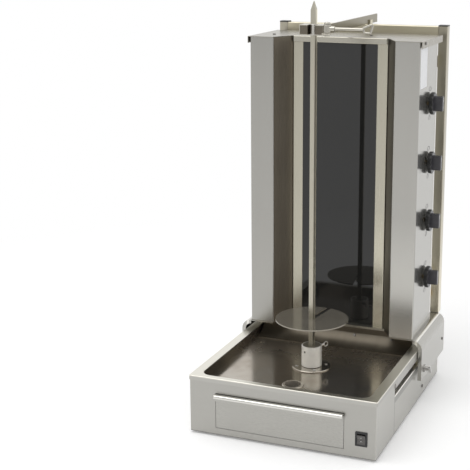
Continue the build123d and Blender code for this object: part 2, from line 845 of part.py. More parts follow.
# ---- lid: follows the cabinet's outline, with folded side flanges
lid_overhang = 6
lid_front_overhang = 3
lid_flange = 17.5
lid_rounding = 1
lid_back_y = cabinet_back_y + 2
lid_half = cabinet_half + lid_overhang
with BuildPart() as lid:
    with BuildSketch(Plane.XY.offset(cabinet_top)):
        with BuildLine():
            Polyline(
                (-lid_half, lid_back_y),
                (-lid_half, column_y - lid_front_overhang),
                (-column_inner, column_y - lid_front_overhang),
                (-throat_half, throat_y),
                (throat_half, throat_y),
                (column_inner, column_y - lid_front_overhang),
                (lid_half, column_y - lid_front_overhang),
                (lid_half, lid_back_y),
                close=True,
            )
        make_face()
    extrude(amount=sheet)
    with BuildSketch(Plane.XY.offset(cabinet_top + sheet - lid_flange)):
        for s in (-1, 1):
            with Locations((s * (lid_half - sheet / 2), (column_y - lid_front_overhang + lid_back_y) / 2)):
                Rectangle(sheet, lid_back_y - column_y + lid_front_overhang)
    extrude(amount=lid_flange - sheet)
    with BuildSketch(Plane.YZ.offset(-lid_half)):
        with Locations((lid_screw_y, lid_screw_z)):
            Circle(screw_radius + screw_gap)
    extrude(amount=2 * lid_half, mode=Mode.SUBTRACT)
    with BuildSketch(Plane.XY.offset(cabinet_top)):
        with Locations(*lid_top_screws):
            Circle(screw_radius + screw_gap)
    extrude(amount=sheet, mode=Mode.SUBTRACT)
    long_edges = lid.edges().filter_by(Axis.Y).group_by(Axis.Z)[-1].sort_by(Axis.X)
    fillet([long_edges[0], long_edges[-1]], lid_rounding)
save(lid.part, "lid")

# ---- apron: a sheet that hangs under the glass and sweeps down to the pan's floor
apron_gap = 0.5  # above the pan's floor
apron_drop = 21  # of its upright part, from the bottom plate
apron_slope = radians(55)  # of the sweep where it starts
apron_side_gap = 5
apron_half = basin_half - apron_side_gap
apron_flange = 20
apron_foot_z = basin_floor + apron_gap + sheet
apron_fold_z = plate_under - apron_drop
sweep_rise = apron_fold_z - apron_foot_z
sweep_radius = sweep_rise / (1 - cos(apron_slope)) - bend
sweep_corner_y = throat_y - sweep_rise / tan(apron_slope)
sweep_end_y = sweep_corner_y - sweep_rise / sin(apron_slope)
apron_screw_pitch = 104
apron_screw_count = 4
apron_screw_drop = 5  # down the sweep from its upper end
screw_slope = apron_slope - apron_screw_drop / sweep_radius
sweep_axis = Vector(0, sweep_corner_y - sweep_radius * tan(apron_slope / 2), apron_foot_z + sweep_radius)
screw_normal = Vector(0, -sin(screw_slope), cos(screw_slope))
seat_radius = (sweep_radius**2 - head_radius**2) ** 0.5  # where the rim of a head meets the sweep
apron_screw_plane = Plane(sweep_axis - screw_normal * seat_radius, x_dir=(1, 0, 0), z_dir=screw_normal)
with BuildPart() as apron:
    with BuildSketch(Plane.YZ.offset(-apron_half)):
        folded(
            [
                (throat_y + apron_flange, plate_under),
                (throat_y, plate_under),
                (throat_y, apron_fold_z),
                (sweep_corner_y, apron_foot_z),
                (sweep_end_y, apron_foot_z),
            ],
            1,
            [bend, inner_bend, sweep_radius],
        )
    extrude(amount=2 * apron_half)
    with BuildSketch(apron_screw_plane):
        with GridLocations(apron_screw_pitch, 0, apron_screw_count, 1):
            Circle(screw_radius + screw_gap)
    extrude(amount=2 * sheet, both=True, mode=Mode.SUBTRACT)
save(apron.part, "apron")

# ---- glass front with its side trims, its top rail and its sill
trim_inner = throat_half - 28.7
trim_outer = throat_half - 1
glass_half = throat_half - 10
glass_gap = 1
glass_thickness = 4
glass_front_y = throat_y + sheet
rail_reach = 5
rail_bend = sheet + 0.5
top_rail_height = 15.5
top_rail_half = throat_half - 4
sill_height = 5  # above the cabinet's bottom
sill_reach = 19
sill_flange = 6
sill_gap = 0.5  # between the sill and the wings beside it
wing_spread = (column_inner - throat_half) / (throat_y - column_y)
sill_back_half = throat_half - sill_gap
sill_front_half = sill_back_half + sill_reach * wing_spread
with BuildPart() as glass_panel:
    with BuildSketch(Plane.XZ.offset(-glass_front_y)):
        with Locations((0, (cabinet_bottom + cabinet_top) / 2)):
            Rectangle(2 * glass_half, cabinet_height - 2 * glass_gap)
    extrude(amount=-glass_thickness)
save(glass_panel.part, "glass_panel")

with BuildPart() as side_trims:
    trim_depth = glass_thickness + 2 * sheet
    with BuildSketch(Plane.XY.offset(cabinet_bottom)):
        folded([(trim_inner, throat_y), (trim_outer, throat_y), (trim_outer, throat_y + trim_depth)])
    extrude(amount=cabinet_height)
    mirror(about=Plane.YZ)
save(side_trims.part, "side_trims")

with BuildPart() as glass_rails:
    with BuildSketch(Plane.YZ.offset(-top_rail_half)):
        folded(
            [
                (throat_y, cabinet_top + sheet),
                (throat_y - rail_reach, cabinet_top + sheet),
                (throat_y - rail_reach, cabinet_top + sheet - top_rail_height),
                (throat_y, cabinet_top + sheet - top_rail_height),
            ],
            radius=rail_bend,
        )
    extrude(amount=2 * top_rail_half)
    with BuildSketch(Plane.XY.offset(cabinet_bottom + sill_height)):
        with BuildLine():
            Polyline(
                (-sill_back_half, throat_y),
                (sill_back_half, throat_y),
                (sill_front_half, throat_y - sill_reach),
                (-sill_front_half, throat_y - sill_reach),
                close=True,
            )
        make_face()
    extrude(amount=-sheet)
    with BuildSketch(Plane.XZ.offset(-(throat_y - sill_reach))):
        with Locations((0, cabinet_bottom + sill_height - sill_flange / 2)):
            Rectangle(2 * (sill_front_half - sheet), sill_flange)
    extrude(amount=-sheet)
save(glass_rails.part, "glass_rails")

# ---- burners: sheet boxes behind the glass with a ceramic tile in each mouth
burner_back_y = burner_front_y + 52
burner_half = throat_half - 38
burner_height = knob_pitch - 33.2
burner_wall = 2
ear_height = 40
tile_depth = 12
with BuildPart() as burner_boxes:
    with BuildSketch(Plane.XZ.offset(-burner_front_y)):
        with Locations(*[(0, z) for z in knob_heights]):
            Rectangle(2 * burner_half, burner_height)
            Rectangle(2 * throat_half, ear_height)
        with Locations(*[(0, z) for z in knob_heights]):
            Rectangle(2 * (burner_half - burner_wall), burner_height - 2 * burner_wall, mode=Mode.SUBTRACT)
    extrude(amount=-burner_wall)
    with BuildSketch(Plane.XZ.offset(-burner_front_y)):
        with Locations(*[(0, z) for z in knob_heights]):
            Rectangle(2 * burner_half, burner_height)
            Rectangle(2 * (burner_half - burner_wall), burner_height - 2 * burner_wall, mode=Mode.SUBTRACT)
    extrude(amount=burner_front_y - burner_back_y)
    with BuildSketch(Plane.XZ.offset(-burner_back_y)):
        with Locations(*[(0, z) for z in knob_heights]):
            Rectangle(2 * burner_half, burner_height)
    extrude(amount=burner_wall)
    with BuildSketch(Plane.YZ.offset(burner_half)):
        with Locations(*[(knob_y, z) for z in knob_heights]):
            Circle(pipe_radius + screw_gap)
    extrude(amount=-2 * burner_wall, mode=Mode.SUBTRACT)
save(burner_boxes.part, "burner_boxes")

with BuildPart() as burner_tiles:
    with BuildSketch(Plane.XZ.offset(-burner_front_y)):
        with Locations(*[(0, z) for z in knob_heights]):
            Rectangle(2 * (burner_half - burner_wall), burner_height - 2 * burner_wall)
    extrude(amount=-tile_depth)
save(burner_tiles.part, "burner_tiles")

# ---- gas valves behind the right-hand side panel
valve_half = 13
valve_corner = 3
nose_length = 2  # of the valve's nose outside the side panel
panel_inside = cabinet_half - sheet
spindle_radius = 4
spindle_inner_x = panel_inside - 14
with BuildPart() as gas_valves:
    with BuildSketch(Plane.YZ.offset(valve_inner_x)):
        with Locations(*[(knob_y, z) for z in knob_heights]):
            RectangleRounded(2 * valve_half, 2 * valve_half, valve_corner)
    extrude(amount=panel_inside - valve_inner_x)
    with BuildSketch(Plane.YZ.offset(panel_inside)):
        with Locations(*[(knob_y, z) for z in knob_heights]):
            Circle(valve_nose)
    extrude(amount=sheet + nose_length)
    with BuildSketch(Plane.YZ.offset(cabinet_half + nose_length)):
        with Locations(*[(knob_y, z) for z in knob_heights]):
            Circle(spindle_radius + bush_gap)
    extrude(amount=spindle_inner_x - slide_gap - cabinet_half - nose_length, mode=Mode.SUBTRACT)
save(gas_valves.part, "gas_valves")

# ---- pipes from the valves to the burners
pipe_wall = 1
with BuildPart() as injector_pipes:
    with BuildSketch(Plane.YZ.offset(burner_half - burner_wall)):
        with Locations(*[(knob_y, z) for z in knob_heights]):
            Circle(pipe_radius)
            Circle(pipe_radius - pipe_wall, mode=Mode.SUBTRACT)
    extrude(amount=valve_inner_x - burner_half + burner_wall)
save(injector_pipes.part, "injector_pipes")

# ---- gas manifold: a riser behind the valves, an elbow and the threaded inlet at the back
manifold_y = knob_y + valve_half + manifold_radius + 10
manifold_top = knob_heights[-1] + 30
manifold_bottom = inlet_z - manifold_radius - 4
inlet_radius = 10.48
inlet_length = 18
outlet_radius = 7  # of the pipe from the riser to the inlet
inlet_collar = 14
inlet_collar_length = 4
branch_radius = 4
branch_x = valve_inner_x + 7
with BuildPart() as gas_manifold:
    with BuildSketch(Plane.XY.offset(manifold_bottom)):
        with Locations((inlet_x, manifold_y)):
            Circle(manifold_radius)
    extrude(amount=manifold_top - manifold_bottom)
    with BuildSketch(Plane.XZ.offset(-manifold_y)):
        with Locations((inlet_x, inlet_z)):
            Circle(outlet_radius)
    extrude(amount=manifold_y - cabinet_back_y)
    with BuildSketch(Plane.XZ.offset(-cabinet_back_y)):
        with Locations((inlet_x, inlet_z)):
            Circle(inlet_collar)
    extrude(amount=-inlet_collar_length)
    with BuildSketch(Plane.XZ.offset(-(cabinet_back_y + inlet_collar_length))):
        with Locations((inlet_x, inlet_z)):
            Circle(inlet_radius)
    extrude(amount=-inlet_length)
    with BuildSketch(Plane.XZ.offset(-(knob_y + valve_half))):
        with Locations(*[(branch_x, z) for z in knob_heights]):
            Circle(branch_radius)
    extrude(amount=knob_y + valve_half - manifold_y)
save(gas_manifold.part, "gas_manifold")

# ---- knobs with their spindles: a fluted skirt, and a bar that stands upright where the gas is off
knob_gap = 3  # from the side panel to the knob's skirt
skirt_radius = 29
knob_skirt = 11
skirt_rounding = 3
flute_count = 14
flute_radius = 4
flute_depth = 1.5
knob_bar_height = 39
knob_bar_width = 16
knob_bar_reach = 21.5
knob_bar_corner = 5
knob_bar_rounding = 2
for number, z in enumerate(knob_heights, 1):
    knob_plane = Plane((cabinet_half + knob_gap, knob_y, z), x_dir=(0, 1, 0), z_dir=(1, 0, 0))
    with BuildPart() as knob:
        with BuildSketch(knob_plane):
            Circle(skirt_radius)
        extrude(amount=knob_skirt)
        fillet(knob.edges(), skirt_rounding)
        with BuildSketch(knob_plane):
            with PolarLocations(skirt_radius + flute_radius - flute_depth, flute_count):
                Circle(flute_radius)
        extrude(amount=knob_skirt, mode=Mode.SUBTRACT)
        with BuildSketch(knob_plane.offset(knob_skirt)):
            RectangleRounded(knob_bar_width, knob_bar_height, knob_bar_corner)
        extrude(amount=knob_bar_reach)
        fillet(knob.faces().sort_by(Axis.X)[-1].edges(), knob_bar_rounding)
        with BuildSketch(knob_plane):
            Circle(spindle_radius)
        extrude(amount=spindle_inner_x - cabinet_half - knob_gap)
    save(knob.part, f"knob_{number}")

# ---- side skirts: saddles bent from under the cabinet over the base's sides, with a folded front
# edge and a threaded boss for the clamp screw
skirt_gap = 12  # between the base's sides and the skirts
skirt_half = half_width + skirt_gap + sheet
skirt_bottom = track_top - 36
skirt_front_y = column_y - 3
skirt_back_y = back_y + 8
skirt_bend = 25
skirt_flange_start = apron_half + 1
skirt_band = 10
clamp_y = column_y + 30
clamp_z = track_top - 12
clamp_radius = 3
boss_radius = 8
boss_length = 8
skirt_screw_y = skirt_back_y - 20
skirt_screw_z = track_top + 4
skirt_edge = [(skirt_half, plate_under), (skirt_half, skirt_bottom)]
with BuildPart() as side_skirts:
    with BuildSketch(Plane.XZ.offset(-skirt_back_y)):
        folded([(skirt_flange_start, plate_under), *skirt_edge], -1, skirt_bend)
    extrude(amount=skirt_back_y - skirt_front_y)
    with BuildSketch(Plane.XZ.offset(-(skirt_front_y + sheet))):
        folded([(skirt_half - skirt_bend - 1, plate_under), *skirt_edge], -1, skirt_bend, skirt_band)
    extrude(amount=sheet)
    with BuildSketch(Plane.YZ.offset(skirt_half - sheet)):
        with Locations((clamp_y, clamp_z)):
            Circle(boss_radius)
    extrude(amount=-boss_length)
    with BuildSketch(Plane.YZ.offset(skirt_half)):
        with Locations((clamp_y, clamp_z)):
            Circle(clamp_radius + bush_gap)
    extrude(amount=-(boss_length + sheet), mode=Mode.SUBTRACT)
    with BuildSketch(Plane.YZ.offset(skirt_half)):
        with Locations((skirt_screw_y, skirt_screw_z)):
            Circle(screw_radius + screw_gap)
    extrude(amount=-sheet, mode=Mode.SUBTRACT)
    mirror(about=Plane.YZ)
save(side_skirts.part, "side_skirts")

# ---- slide blocks: bars in the gap between the side panels and the pan's rim, screwed to the skirts
track_gap = 0.3
block_inner = rail_face + 4
block_front_y = skirt_front_y + 17
block_back_y = skirt_back_y - 11
block_hole_depth = 10
block_bottom = track_top + track_gap
block_top = rim_top - side_flange - track_gap
with BuildPart() as slide_blocks:
    with BuildSketch(Plane.XZ.offset(-block_back_y)):
        with Locations(((block_inner + skirt_half - sheet) / 2, (block_bottom + block_top) / 2)):
            Rectangle(skirt_half - sheet - block_inner, block_top - block_bottom)
    extrude(amount=block_back_y - block_front_y)
    with BuildSketch(Plane.YZ.offset(skirt_half - sheet)):
        with Locations((skirt_screw_y, skirt_screw_z)):
            Circle(screw_radius + screw_gap)
    extrude(amount=-block_hole_depth, mode=Mode.SUBTRACT)
    mirror(about=Plane.YZ)
save(slide_blocks.part, "slide_blocks")

# ---- screws in the lid, in the skirts and in the apron
lid_screw_length = lid_overhang + 4
sheet_screw_length = 8
skirt_screw_length = block_hole_depth - 1
side_screws = [
    pan_screw(Plane((s * x, y, z), x_dir=(0, 1, 0), z_dir=(s, 0, 0)), length)
    for s in (-1, 1)
    for x, y, z, length in (
        (lid_half, lid_screw_y, lid_screw_z, lid_screw_length),
        (skirt_half, skirt_screw_y, skirt_screw_z, skirt_screw_length),
    )
]
top_screws = [pan_screw(Plane((x, y, cabinet_top + sheet)), sheet_screw_length) for x, y in lid_top_screws]
apron_screw_row = GridLocations(apron_screw_pitch, 0, apron_screw_count, 1)
apron_screws = [
    pan_screw(Plane(apron_screw_plane.location * place), sheet_screw_length)
    for place in apron_screw_row.locations
]
cabinet_screws = Compound(children=side_screws + top_screws + apron_screws)
save(cabinet_screws, "cabinet_screws")

# ---- clamp screws with washers and wings, one through each skirt
washer_radius = 10
washer_height = 3
screw_hub_radius = 6
screw_hub_height = 11
wing_span = 32
wing_width = 8
wing_height = 7
wing_turn = 40  # how far the wings stand turned from upright, degrees
clamp_tip_gap = 0.4
for name, s in (("clamp_screw_left", -1), ("clamp_screw_right", 1)):
    clamp_plane = Plane((s * (skirt_half + slide_gap), clamp_y, clamp_z), x_dir=(0, 1, 0), z_dir=(s, 0, 0))
    with BuildPart() as clamp_screw:
        with BuildSketch(clamp_plane):
            Circle(washer_radius)
        extrude(amount=washer_height)
        with BuildSketch(clamp_plane):
            Circle(screw_hub_radius)
        extrude(amount=screw_hub_height + washer_height)
        with BuildSketch(clamp_plane.offset(washer_height + screw_hub_height - wing_height / 2)):
            RectangleRounded(wing_width, wing_span, wing_width / 2 - 0.1, rotation=s * wing_turn)
        extrude(amount=wing_height)
        with BuildSketch(clamp_plane):
            Circle(clamp_radius)
        extrude(amount=-(skirt_half + slide_gap - half_width - clamp_tip_gap))
    save(clamp_screw.part, name)

# ---- mast: two square tubes behind the cabinet, with brackets, end caps and a crossbar
mast_tube_x = mast_half - tube / 2
mast_middle_y = mast_y + tube / 2
tube_corner = 2
tube_inner = tube - 2 * tube_wall
tube_inner_corner = tube_corner - tube_wall
with BuildPart() as mast_tubes:
    with BuildSketch(Plane.XY.offset(cabinet_bottom)):
        with Locations((-mast_tube_x, mast_middle_y), (mast_tube_x, mast_middle_y)):
            RectangleRounded(tube, tube, tube_corner)
            RectangleRounded(tube_inner, tube_inner, tube_inner_corner, mode=Mode.SUBTRACT)
    extrude(amount=mast_top - cabinet_bottom)
save(mast_tubes.part, "mast_tubes")

cap_height = 3
cap_overlap = 0.3
cap_plug = 10
with BuildPart() as tube_caps:
    with BuildSketch(Plane.XY.offset(mast_top)):
        with Locations((-mast_tube_x, mast_middle_y), (mast_tube_x, mast_middle_y)):
            RectangleRounded(tube + 2 * cap_overlap, tube + 2 * cap_overlap, tube_corner)
    extrude(amount=cap_height)
    with BuildSketch(Plane.XY.offset(mast_top)):
        with Locations((-mast_tube_x, mast_middle_y), (mast_tube_x, mast_middle_y)):
            RectangleRounded(tube_inner - 2 * screw_gap, tube_inner - 2 * screw_gap, tube_inner_corner)
    extrude(amount=-cap_plug)
save(tube_caps.part, "tube_caps")

# ---- brackets: each has a foot on the back cover and a leg beside a tube
mast_bracket_sheet = 3
mast_bracket_foot = 20
mast_bracket_leg = mast_gap + 20
mast_bracket_height = 30
mast_bracket_heights = (cabinet_bottom + 110, cabinet_top - 72)
with BuildPart() as mast_brackets:
    for z in mast_bracket_heights:
        with BuildSketch(Plane.XY.offset(z - mast_bracket_height / 2)):
            folded(
                [
                    (mast_half - tube - mast_bracket_foot, cabinet_back_y),
                    (mast_half - tube, cabinet_back_y),
                    (mast_half - tube, cabinet_back_y + mast_bracket_leg),
                ],
                radius=mast_bracket_sheet + inner_bend,
                thickness=mast_bracket_sheet,
            )
        extrude(amount=mast_bracket_height)
    mirror(about=Plane.YZ)
save(mast_brackets.part, "mast_brackets")

arm_left = 16
arm_thickness = 4
arm_gap = 1.3  # between the arm and the crossbar
arm_depth = 22.7
arm_bottom = mast_top + arm_gap
arm_top = arm_bottom + arm_depth
lug_width = 4
lug_length = 21
lug_height = 12
with BuildPart() as crossbar:
    with BuildSketch(Plane.YZ.offset(-(mast_half - tube))):
        with Locations((mast_middle_y, mast_top - tube / 2)):
            RectangleRounded(tube, tube, tube_corner)
            RectangleRounded(tube_inner, tube_inner, tube_inner_corner, mode=Mode.SUBTRACT)
    extrude(amount=2 * (mast_half - tube))
    with BuildSketch(Plane.XY.offset(mast_top)):
        with Locations(
            (arm_left - slide_gap - lug_width / 2, mast_middle_y),
            (arm_left + arm_thickness + slide_gap + lug_width / 2, mast_middle_y),
        ):
            Rectangle(lug_width, lug_length)
    extrude(amount=lug_height)
save(crossbar.part, "crossbar")

# ================================================================ arm with the top bearing

bracket_side = 21.6  # from the journal to the bracket's outer side
bracket_mouth = 9  # from the journal to the bracket's front
bracket_behind = 14  # from the journal to the bracket's back
bracket_half = journal_radius + bracket_side
bracket_front_y = spit_y - journal_radius - bracket_mouth
bracket_back_y = spit_y + journal_radius + bracket_behind
bracket_wall = 3
latch_x = bracket_half + 11.5
latch_y = bracket_front_y - 7.5
latch_z = bracket_bottom + 17
latch_barrel_radius = 8.75
latch_barrel_bottom = bracket_bottom + 7
latch_barrel_top = bracket_bottom + 27.5
latch_pin_radius = 4
ear_thickness = 4
ear_radius = 9
ear_overlap = 1  # of the ear with the bracket's side

with BuildPart() as spit_arm:
    with BuildSketch(Plane.YZ.offset(arm_left)):
        with Locations(((bracket_back_y + spit_y + arm_end) / 2, (arm_bottom + arm_top) / 2)):
            Rectangle(spit_y + arm_end - bracket_back_y, arm_top - arm_bottom)
    extrude(amount=arm_thickness)
save(spit_arm.part, "spit_arm")

with BuildPart() as top_bracket:
    with BuildSketch(Plane.XY.offset(bracket_bottom)):
        with Locations((0, (bracket_front_y + bracket_back_y) / 2)):
            Rectangle(2 * bracket_half, bracket_back_y - bracket_front_y)
    extrude(amount=bracket_top - bracket_bottom)
    fillet(top_bracket.edges().filter_by(Axis.Z), bend)
    offset(amount=-bracket_wall, openings=top_bracket.faces().sort_by(Axis.Y)[0])
    ear_bottom = latch_barrel_bottom - slide_gap - ear_thickness
    with BuildSketch(Plane.XY.offset(ear_bottom)):
        with Locations((latch_x, latch_y)):
            Circle(ear_radius)
        with Locations(((bracket_half + latch_x - ear_overlap) / 2, latch_y + ear_radius / 2)):
            Rectangle(latch_x - bracket_half + ear_overlap, ear_radius * 2)
    extrude(amount=ear_thickness)
    with BuildSketch(Plane.XY.offset(bracket_bottom)):
        with BuildLine():
            notch = journal_radius + bush_gap
            mouth_y = bracket_front_y - 1
            Polyline(
                (-notch, spit_y), (-notch, mouth_y), (notch, mouth_y), (notch, spit_y)
            )
            ThreePointArc((notch, spit_y), (0, spit_y + notch), (-notch, spit_y))
        make_face()
    extrude(amount=bracket_top - bracket_bottom, mode=Mode.SUBTRACT)
    with BuildSketch(Plane.XY.offset(ear_bottom)):
        with Locations((latch_x, latch_y)):
            Circle(latch_pin_radius + screw_gap)
    extrude(amount=ear_thickness, mode=Mode.SUBTRACT)
save(top_bracket.part, "top_bracket")

# ---- pivot bolt of the latch, with its head under the ear and a domed nut on top
nut_radius = 8
nut_height = 5
nut_rounding = 4
bolt_head = 7
bolt_head_height = 4
with BuildPart() as latch_pivot:
    with BuildSketch(Plane.XY.offset(ear_bottom - bolt_head_height)):
        with Locations((latch_x, latch_y)):
            RegularPolygon(bolt_head, 6)
    extrude(amount=bolt_head_height)
    with BuildSketch(Plane.XY.offset(ear_bottom)):
        with Locations((latch_x, latch_y)):
            Circle(latch_pin_radius)
    extrude(amount=latch_barrel_top + slide_gap - ear_bottom)
    with BuildSketch(Plane.XY.offset(latch_barrel_top + slide_gap)):
        with Locations((latch_x, latch_y)):
            Circle(nut_radius)
    extrude(amount=nut_height)
    fillet(latch_pivot.edges().group_by(Axis.Z)[-1], nut_rounding)
save(latch_pivot.part, "latch_pivot")

# ---- latch: a rod on a barrel that swings across the bracket's mouth, with a loop of bent rod to
# grip
rod_radius = 4
neck_radius = 6.5
neck_length = 19
rod_length = 89
neck_end = latch_x + neck_length
rod_end = latch_x + rod_length
loop_wire = 2.6
loop_bend = 3.5
loop_corners = [(-2, 3), (25, 14), (18, -8), (3, -7)]  # from the rod's end, in X and Z
barrel_rounding = 3
with BuildPart() as latch_rod:
    with BuildSketch(Plane.XY.offset(latch_barrel_bottom)):
        with Locations((latch_x, latch_y)):
            Circle(latch_barrel_radius)
    extrude(amount=latch_barrel_top - latch_barrel_bottom)
    fillet(latch_rod.edges(), barrel_rounding)
    with BuildSketch(Plane.YZ.offset(latch_x)):
        with Locations((latch_y, latch_z)):
            Circle(neck_radius)
    extrude(amount=neck_end - latch_x)
    with BuildSketch(Plane.YZ.offset(latch_x)):
        with Locations((latch_y, latch_z)):
            Circle(rod_radius)
    extrude(amount=rod_end - latch_x)
    with BuildLine(Plane((rod_end, latch_y, latch_z), x_dir=(1, 0, 0), z_dir=(0, -1, 0))) as loop:
        FilletPolyline(*loop_corners, radius=loop_bend, close=True)
    loop_start = loop.edges().filter_by(GeomType.LINE).sort_by(SortBy.LENGTH)[-1]
    with BuildSketch(Plane(loop_start @ 0, z_dir=loop_start % 0)):
        Circle(loop_wire)
    sweep(path=loop.wire())
    with BuildSketch(Plane.XY.offset(latch_barrel_bottom)):
        with Locations((latch_x, latch_y)):
            Circle(latch_pin_radius + bush_gap)
    extrude(amount=latch_barrel_top - latch_barrel_bottom, mode=Mode.SUBTRACT)
save(latch_rod.part, "latch_rod")
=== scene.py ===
"""Vertical rotisserie broiler: the looks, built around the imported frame.

Metres, +Z up, front to -Y.
"""

from math import radians

import bmesh
import bpy
from mathutils import Matrix, Vector


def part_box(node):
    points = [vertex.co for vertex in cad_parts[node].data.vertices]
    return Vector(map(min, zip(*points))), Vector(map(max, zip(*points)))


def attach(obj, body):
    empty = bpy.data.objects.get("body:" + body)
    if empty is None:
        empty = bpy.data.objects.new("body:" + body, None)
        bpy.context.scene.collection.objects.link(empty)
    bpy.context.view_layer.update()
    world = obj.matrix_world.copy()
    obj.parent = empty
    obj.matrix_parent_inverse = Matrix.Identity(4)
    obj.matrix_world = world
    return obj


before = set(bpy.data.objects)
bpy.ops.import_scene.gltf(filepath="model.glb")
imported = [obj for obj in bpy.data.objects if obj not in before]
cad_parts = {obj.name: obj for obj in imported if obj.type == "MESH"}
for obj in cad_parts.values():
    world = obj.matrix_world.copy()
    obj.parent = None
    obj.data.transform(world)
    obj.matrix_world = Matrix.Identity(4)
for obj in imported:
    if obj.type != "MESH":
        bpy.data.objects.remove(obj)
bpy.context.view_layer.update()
scene = bpy.context.scene

# ---- Camera. It stands to the right of the front, a little above the lid, and looks slightly
# down. The long lens keeps the uprights nearly parallel.
camera = bpy.data.objects.new("camera", bpy.data.cameras.new("camera"))
scene.collection.objects.link(camera)
camera.location = (0.9321, -2.7539, 1.2150)
camera.rotation_euler = (radians(77.16), 0, radians(21.265))
camera.data.lens = 88.33
camera.data.shift_x = -0.0902
camera.data.shift_y = -0.0838
scene.camera = camera


# ---- Base shell: one stainless sheet bent round the front, two side panels and a slotted rear
# panel, brushed along their length. The floor plate, the rails and the runners inside are cut
# from a duller sheet of the same steel.
class Socket:
    """One output of a node. Arithmetic on it adds Math nodes."""

    def __init__(self, finish, output):
        self.finish, self.output = finish, output

    def math(self, operation, first, second=0.0):
        return self.finish.node("ShaderNodeMath", {"operation": operation}, {0: first, 1: second})

    def __add__(self, other):
        return self.math("ADD", self, other)

    def __sub__(self, other):
        return self.math("SUBTRACT", self, other)

    def __rsub__(self, other):
        return self.math("SUBTRACT", other, self)

    def __mul__(self, other):
        return self.math("MULTIPLY", self, other)

    def __gt__(self, other):
        return self.math("GREATER_THAN", self, other)

    def __lt__(self, other):
        return self.math("LESS_THAN", self, other)

    def __abs__(self):
        return self.math("ABSOLUTE", self)

    __radd__ = __add__
    __rmul__ = __mul__


class Finish:
    """A material while it is made: a Principled shader with a few nodes in front of it."""

    def __init__(self, name, **sockets):
        self.material = bpy.data.materials.new(name)
        self.material.use_nodes = True
        self.tree = self.material.node_tree
        self.shader = self.tree.nodes["Principled BSDF"]
        self.feed(self.shader, sockets)

    def feed(self, node, sockets):
        """Sets or links a node's inputs. Keys are numbers or names, with _ for a space."""
        for key, value in sockets.items():
            target = node.inputs[key.replace("_", " ") if isinstance(key, str) else key]
            if isinstance(value, Socket):
                self.tree.links.new(value.output, target)
            elif isinstance(value, tuple) and target.type == "RGBA":
                target.default_value = (*value, 1)
            else:
                target.default_value = value

    def node(self, kind, settings=None, sockets=None, output=0):
        """Adds a node: its settings first, then its inputs. stops are a ramp's places and greys."""
        made = self.tree.nodes.new(kind)
        for key, value in (settings or {}).items():
            if key == "stops":
                for _ in value[2:]:
                    made.color_ramp.elements.new(0.5)
                for element, (place, grey) in zip(made.color_ramp.elements, value):
                    element.position = place
                    element.color = (grey, grey, grey, 1)
            else:
                setattr(made, key, value)
        self.feed(made, sockets or {})
        return Socket(self, made.outputs[output])

    def place(self):
        """The point on the piece, in metres."""
        return self.node("ShaderNodeTexCoord", output="Object")

    def along(self, axis):
        """The point's x, y or z in metres."""
        return self.node("ShaderNodeSeparateXYZ", sockets={0: self.place()}, output=axis)

    def noise(self, size, stretch=(1, 1, 1), detail=2, roughness=0.5):
        """Soft blotches of about the given size in metres, drawn out along the axes by stretch."""
        scale = tuple(1 / (size * times) for times in stretch)
        where = self.node("ShaderNodeMapping", sockets={"Vector": self.place(), "Scale": scale})
        return self.node(
            "ShaderNodeTexNoise",
            sockets={"Vector": where, "Scale": 1, "Detail": detail, "Roughness": roughness},
        )

    def ramp(self, value, *stops):
        """Remaps a value through grey stops of (place, grey)."""
        return self.node("ShaderNodeValToRGB", {"stops": stops}, {0: value})

    def mix(self, first, second, factor):
        """Blends two colours."""
        return self.node(
            "ShaderNodeMix", {"data_type": "RGBA"}, {0: factor, 6: first, 7: second}, output=2
        )

    def bump(self, height, distance, strength=1):
        """Normal from a height pattern, distance in metres."""
        return self.node(
            "ShaderNodeBump",
            sockets={"Height": height, "Distance": distance, "Strength": strength},
        )

    def done(self, **sockets):
        self.feed(self.shader, sockets)
        return self.material


def tint(colour, by):
    """A colour made lighter or darker."""
    return tuple(channel * by for channel in colour)


def drawn(axes, times):
    """The stretch of a pattern that is drawn out along the named axes."""
    return tuple(times if axis in axes else 1 for axis in "XYZ")


def dress(material, *names):
    """Gives CAD nodes a finish."""
    for name in names:
        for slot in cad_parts[name].material_slots:
            slot.material = material


sheet_grey = (0.41, 0.402, 0.375)
grain_width = 0.0006
grain_length = 160  # in widths
skin = 0.0012  # a point this near an outer face counts as on it


def sheet_grain(steel, colour, axes, width=grain_width):
    """Brushed lines along the named axes, faint smears, and the colour with both in it."""
    lines = steel.noise(width, drawn(axes, grain_length), 3, 0.6)
    smears = steel.noise(0.16, detail=3)
    wipes = steel.noise(0.02, drawn(axes, 9))
    tone = lines * 0.35 + smears * 0.4 + wipes * 0.25
    return lines, smears, steel.mix(tint(colour, 0.9), tint(colour, 1.1), tone)


def brushed(name, colour, roughness, axes, width=grain_width, marks_and_painted_light=None):
    """Brushed stainless sheet. The last argument is a function that adds a piece's own marks and
    painted light and shade to the colour.
    """
    steel = Finish(name, Metallic=0.92)
    lines, smears, shade = sheet_grain(steel, colour, axes, width)
    return steel.done(
        Base_Color=marks_and_painted_light(steel, shade) if marks_and_painted_light else shade,
        Roughness=lines * 0.1 + smears * 0.1 + (roughness - 0.1),
        Normal=steel.bump(lines, 0.00002, 0.35),
    )


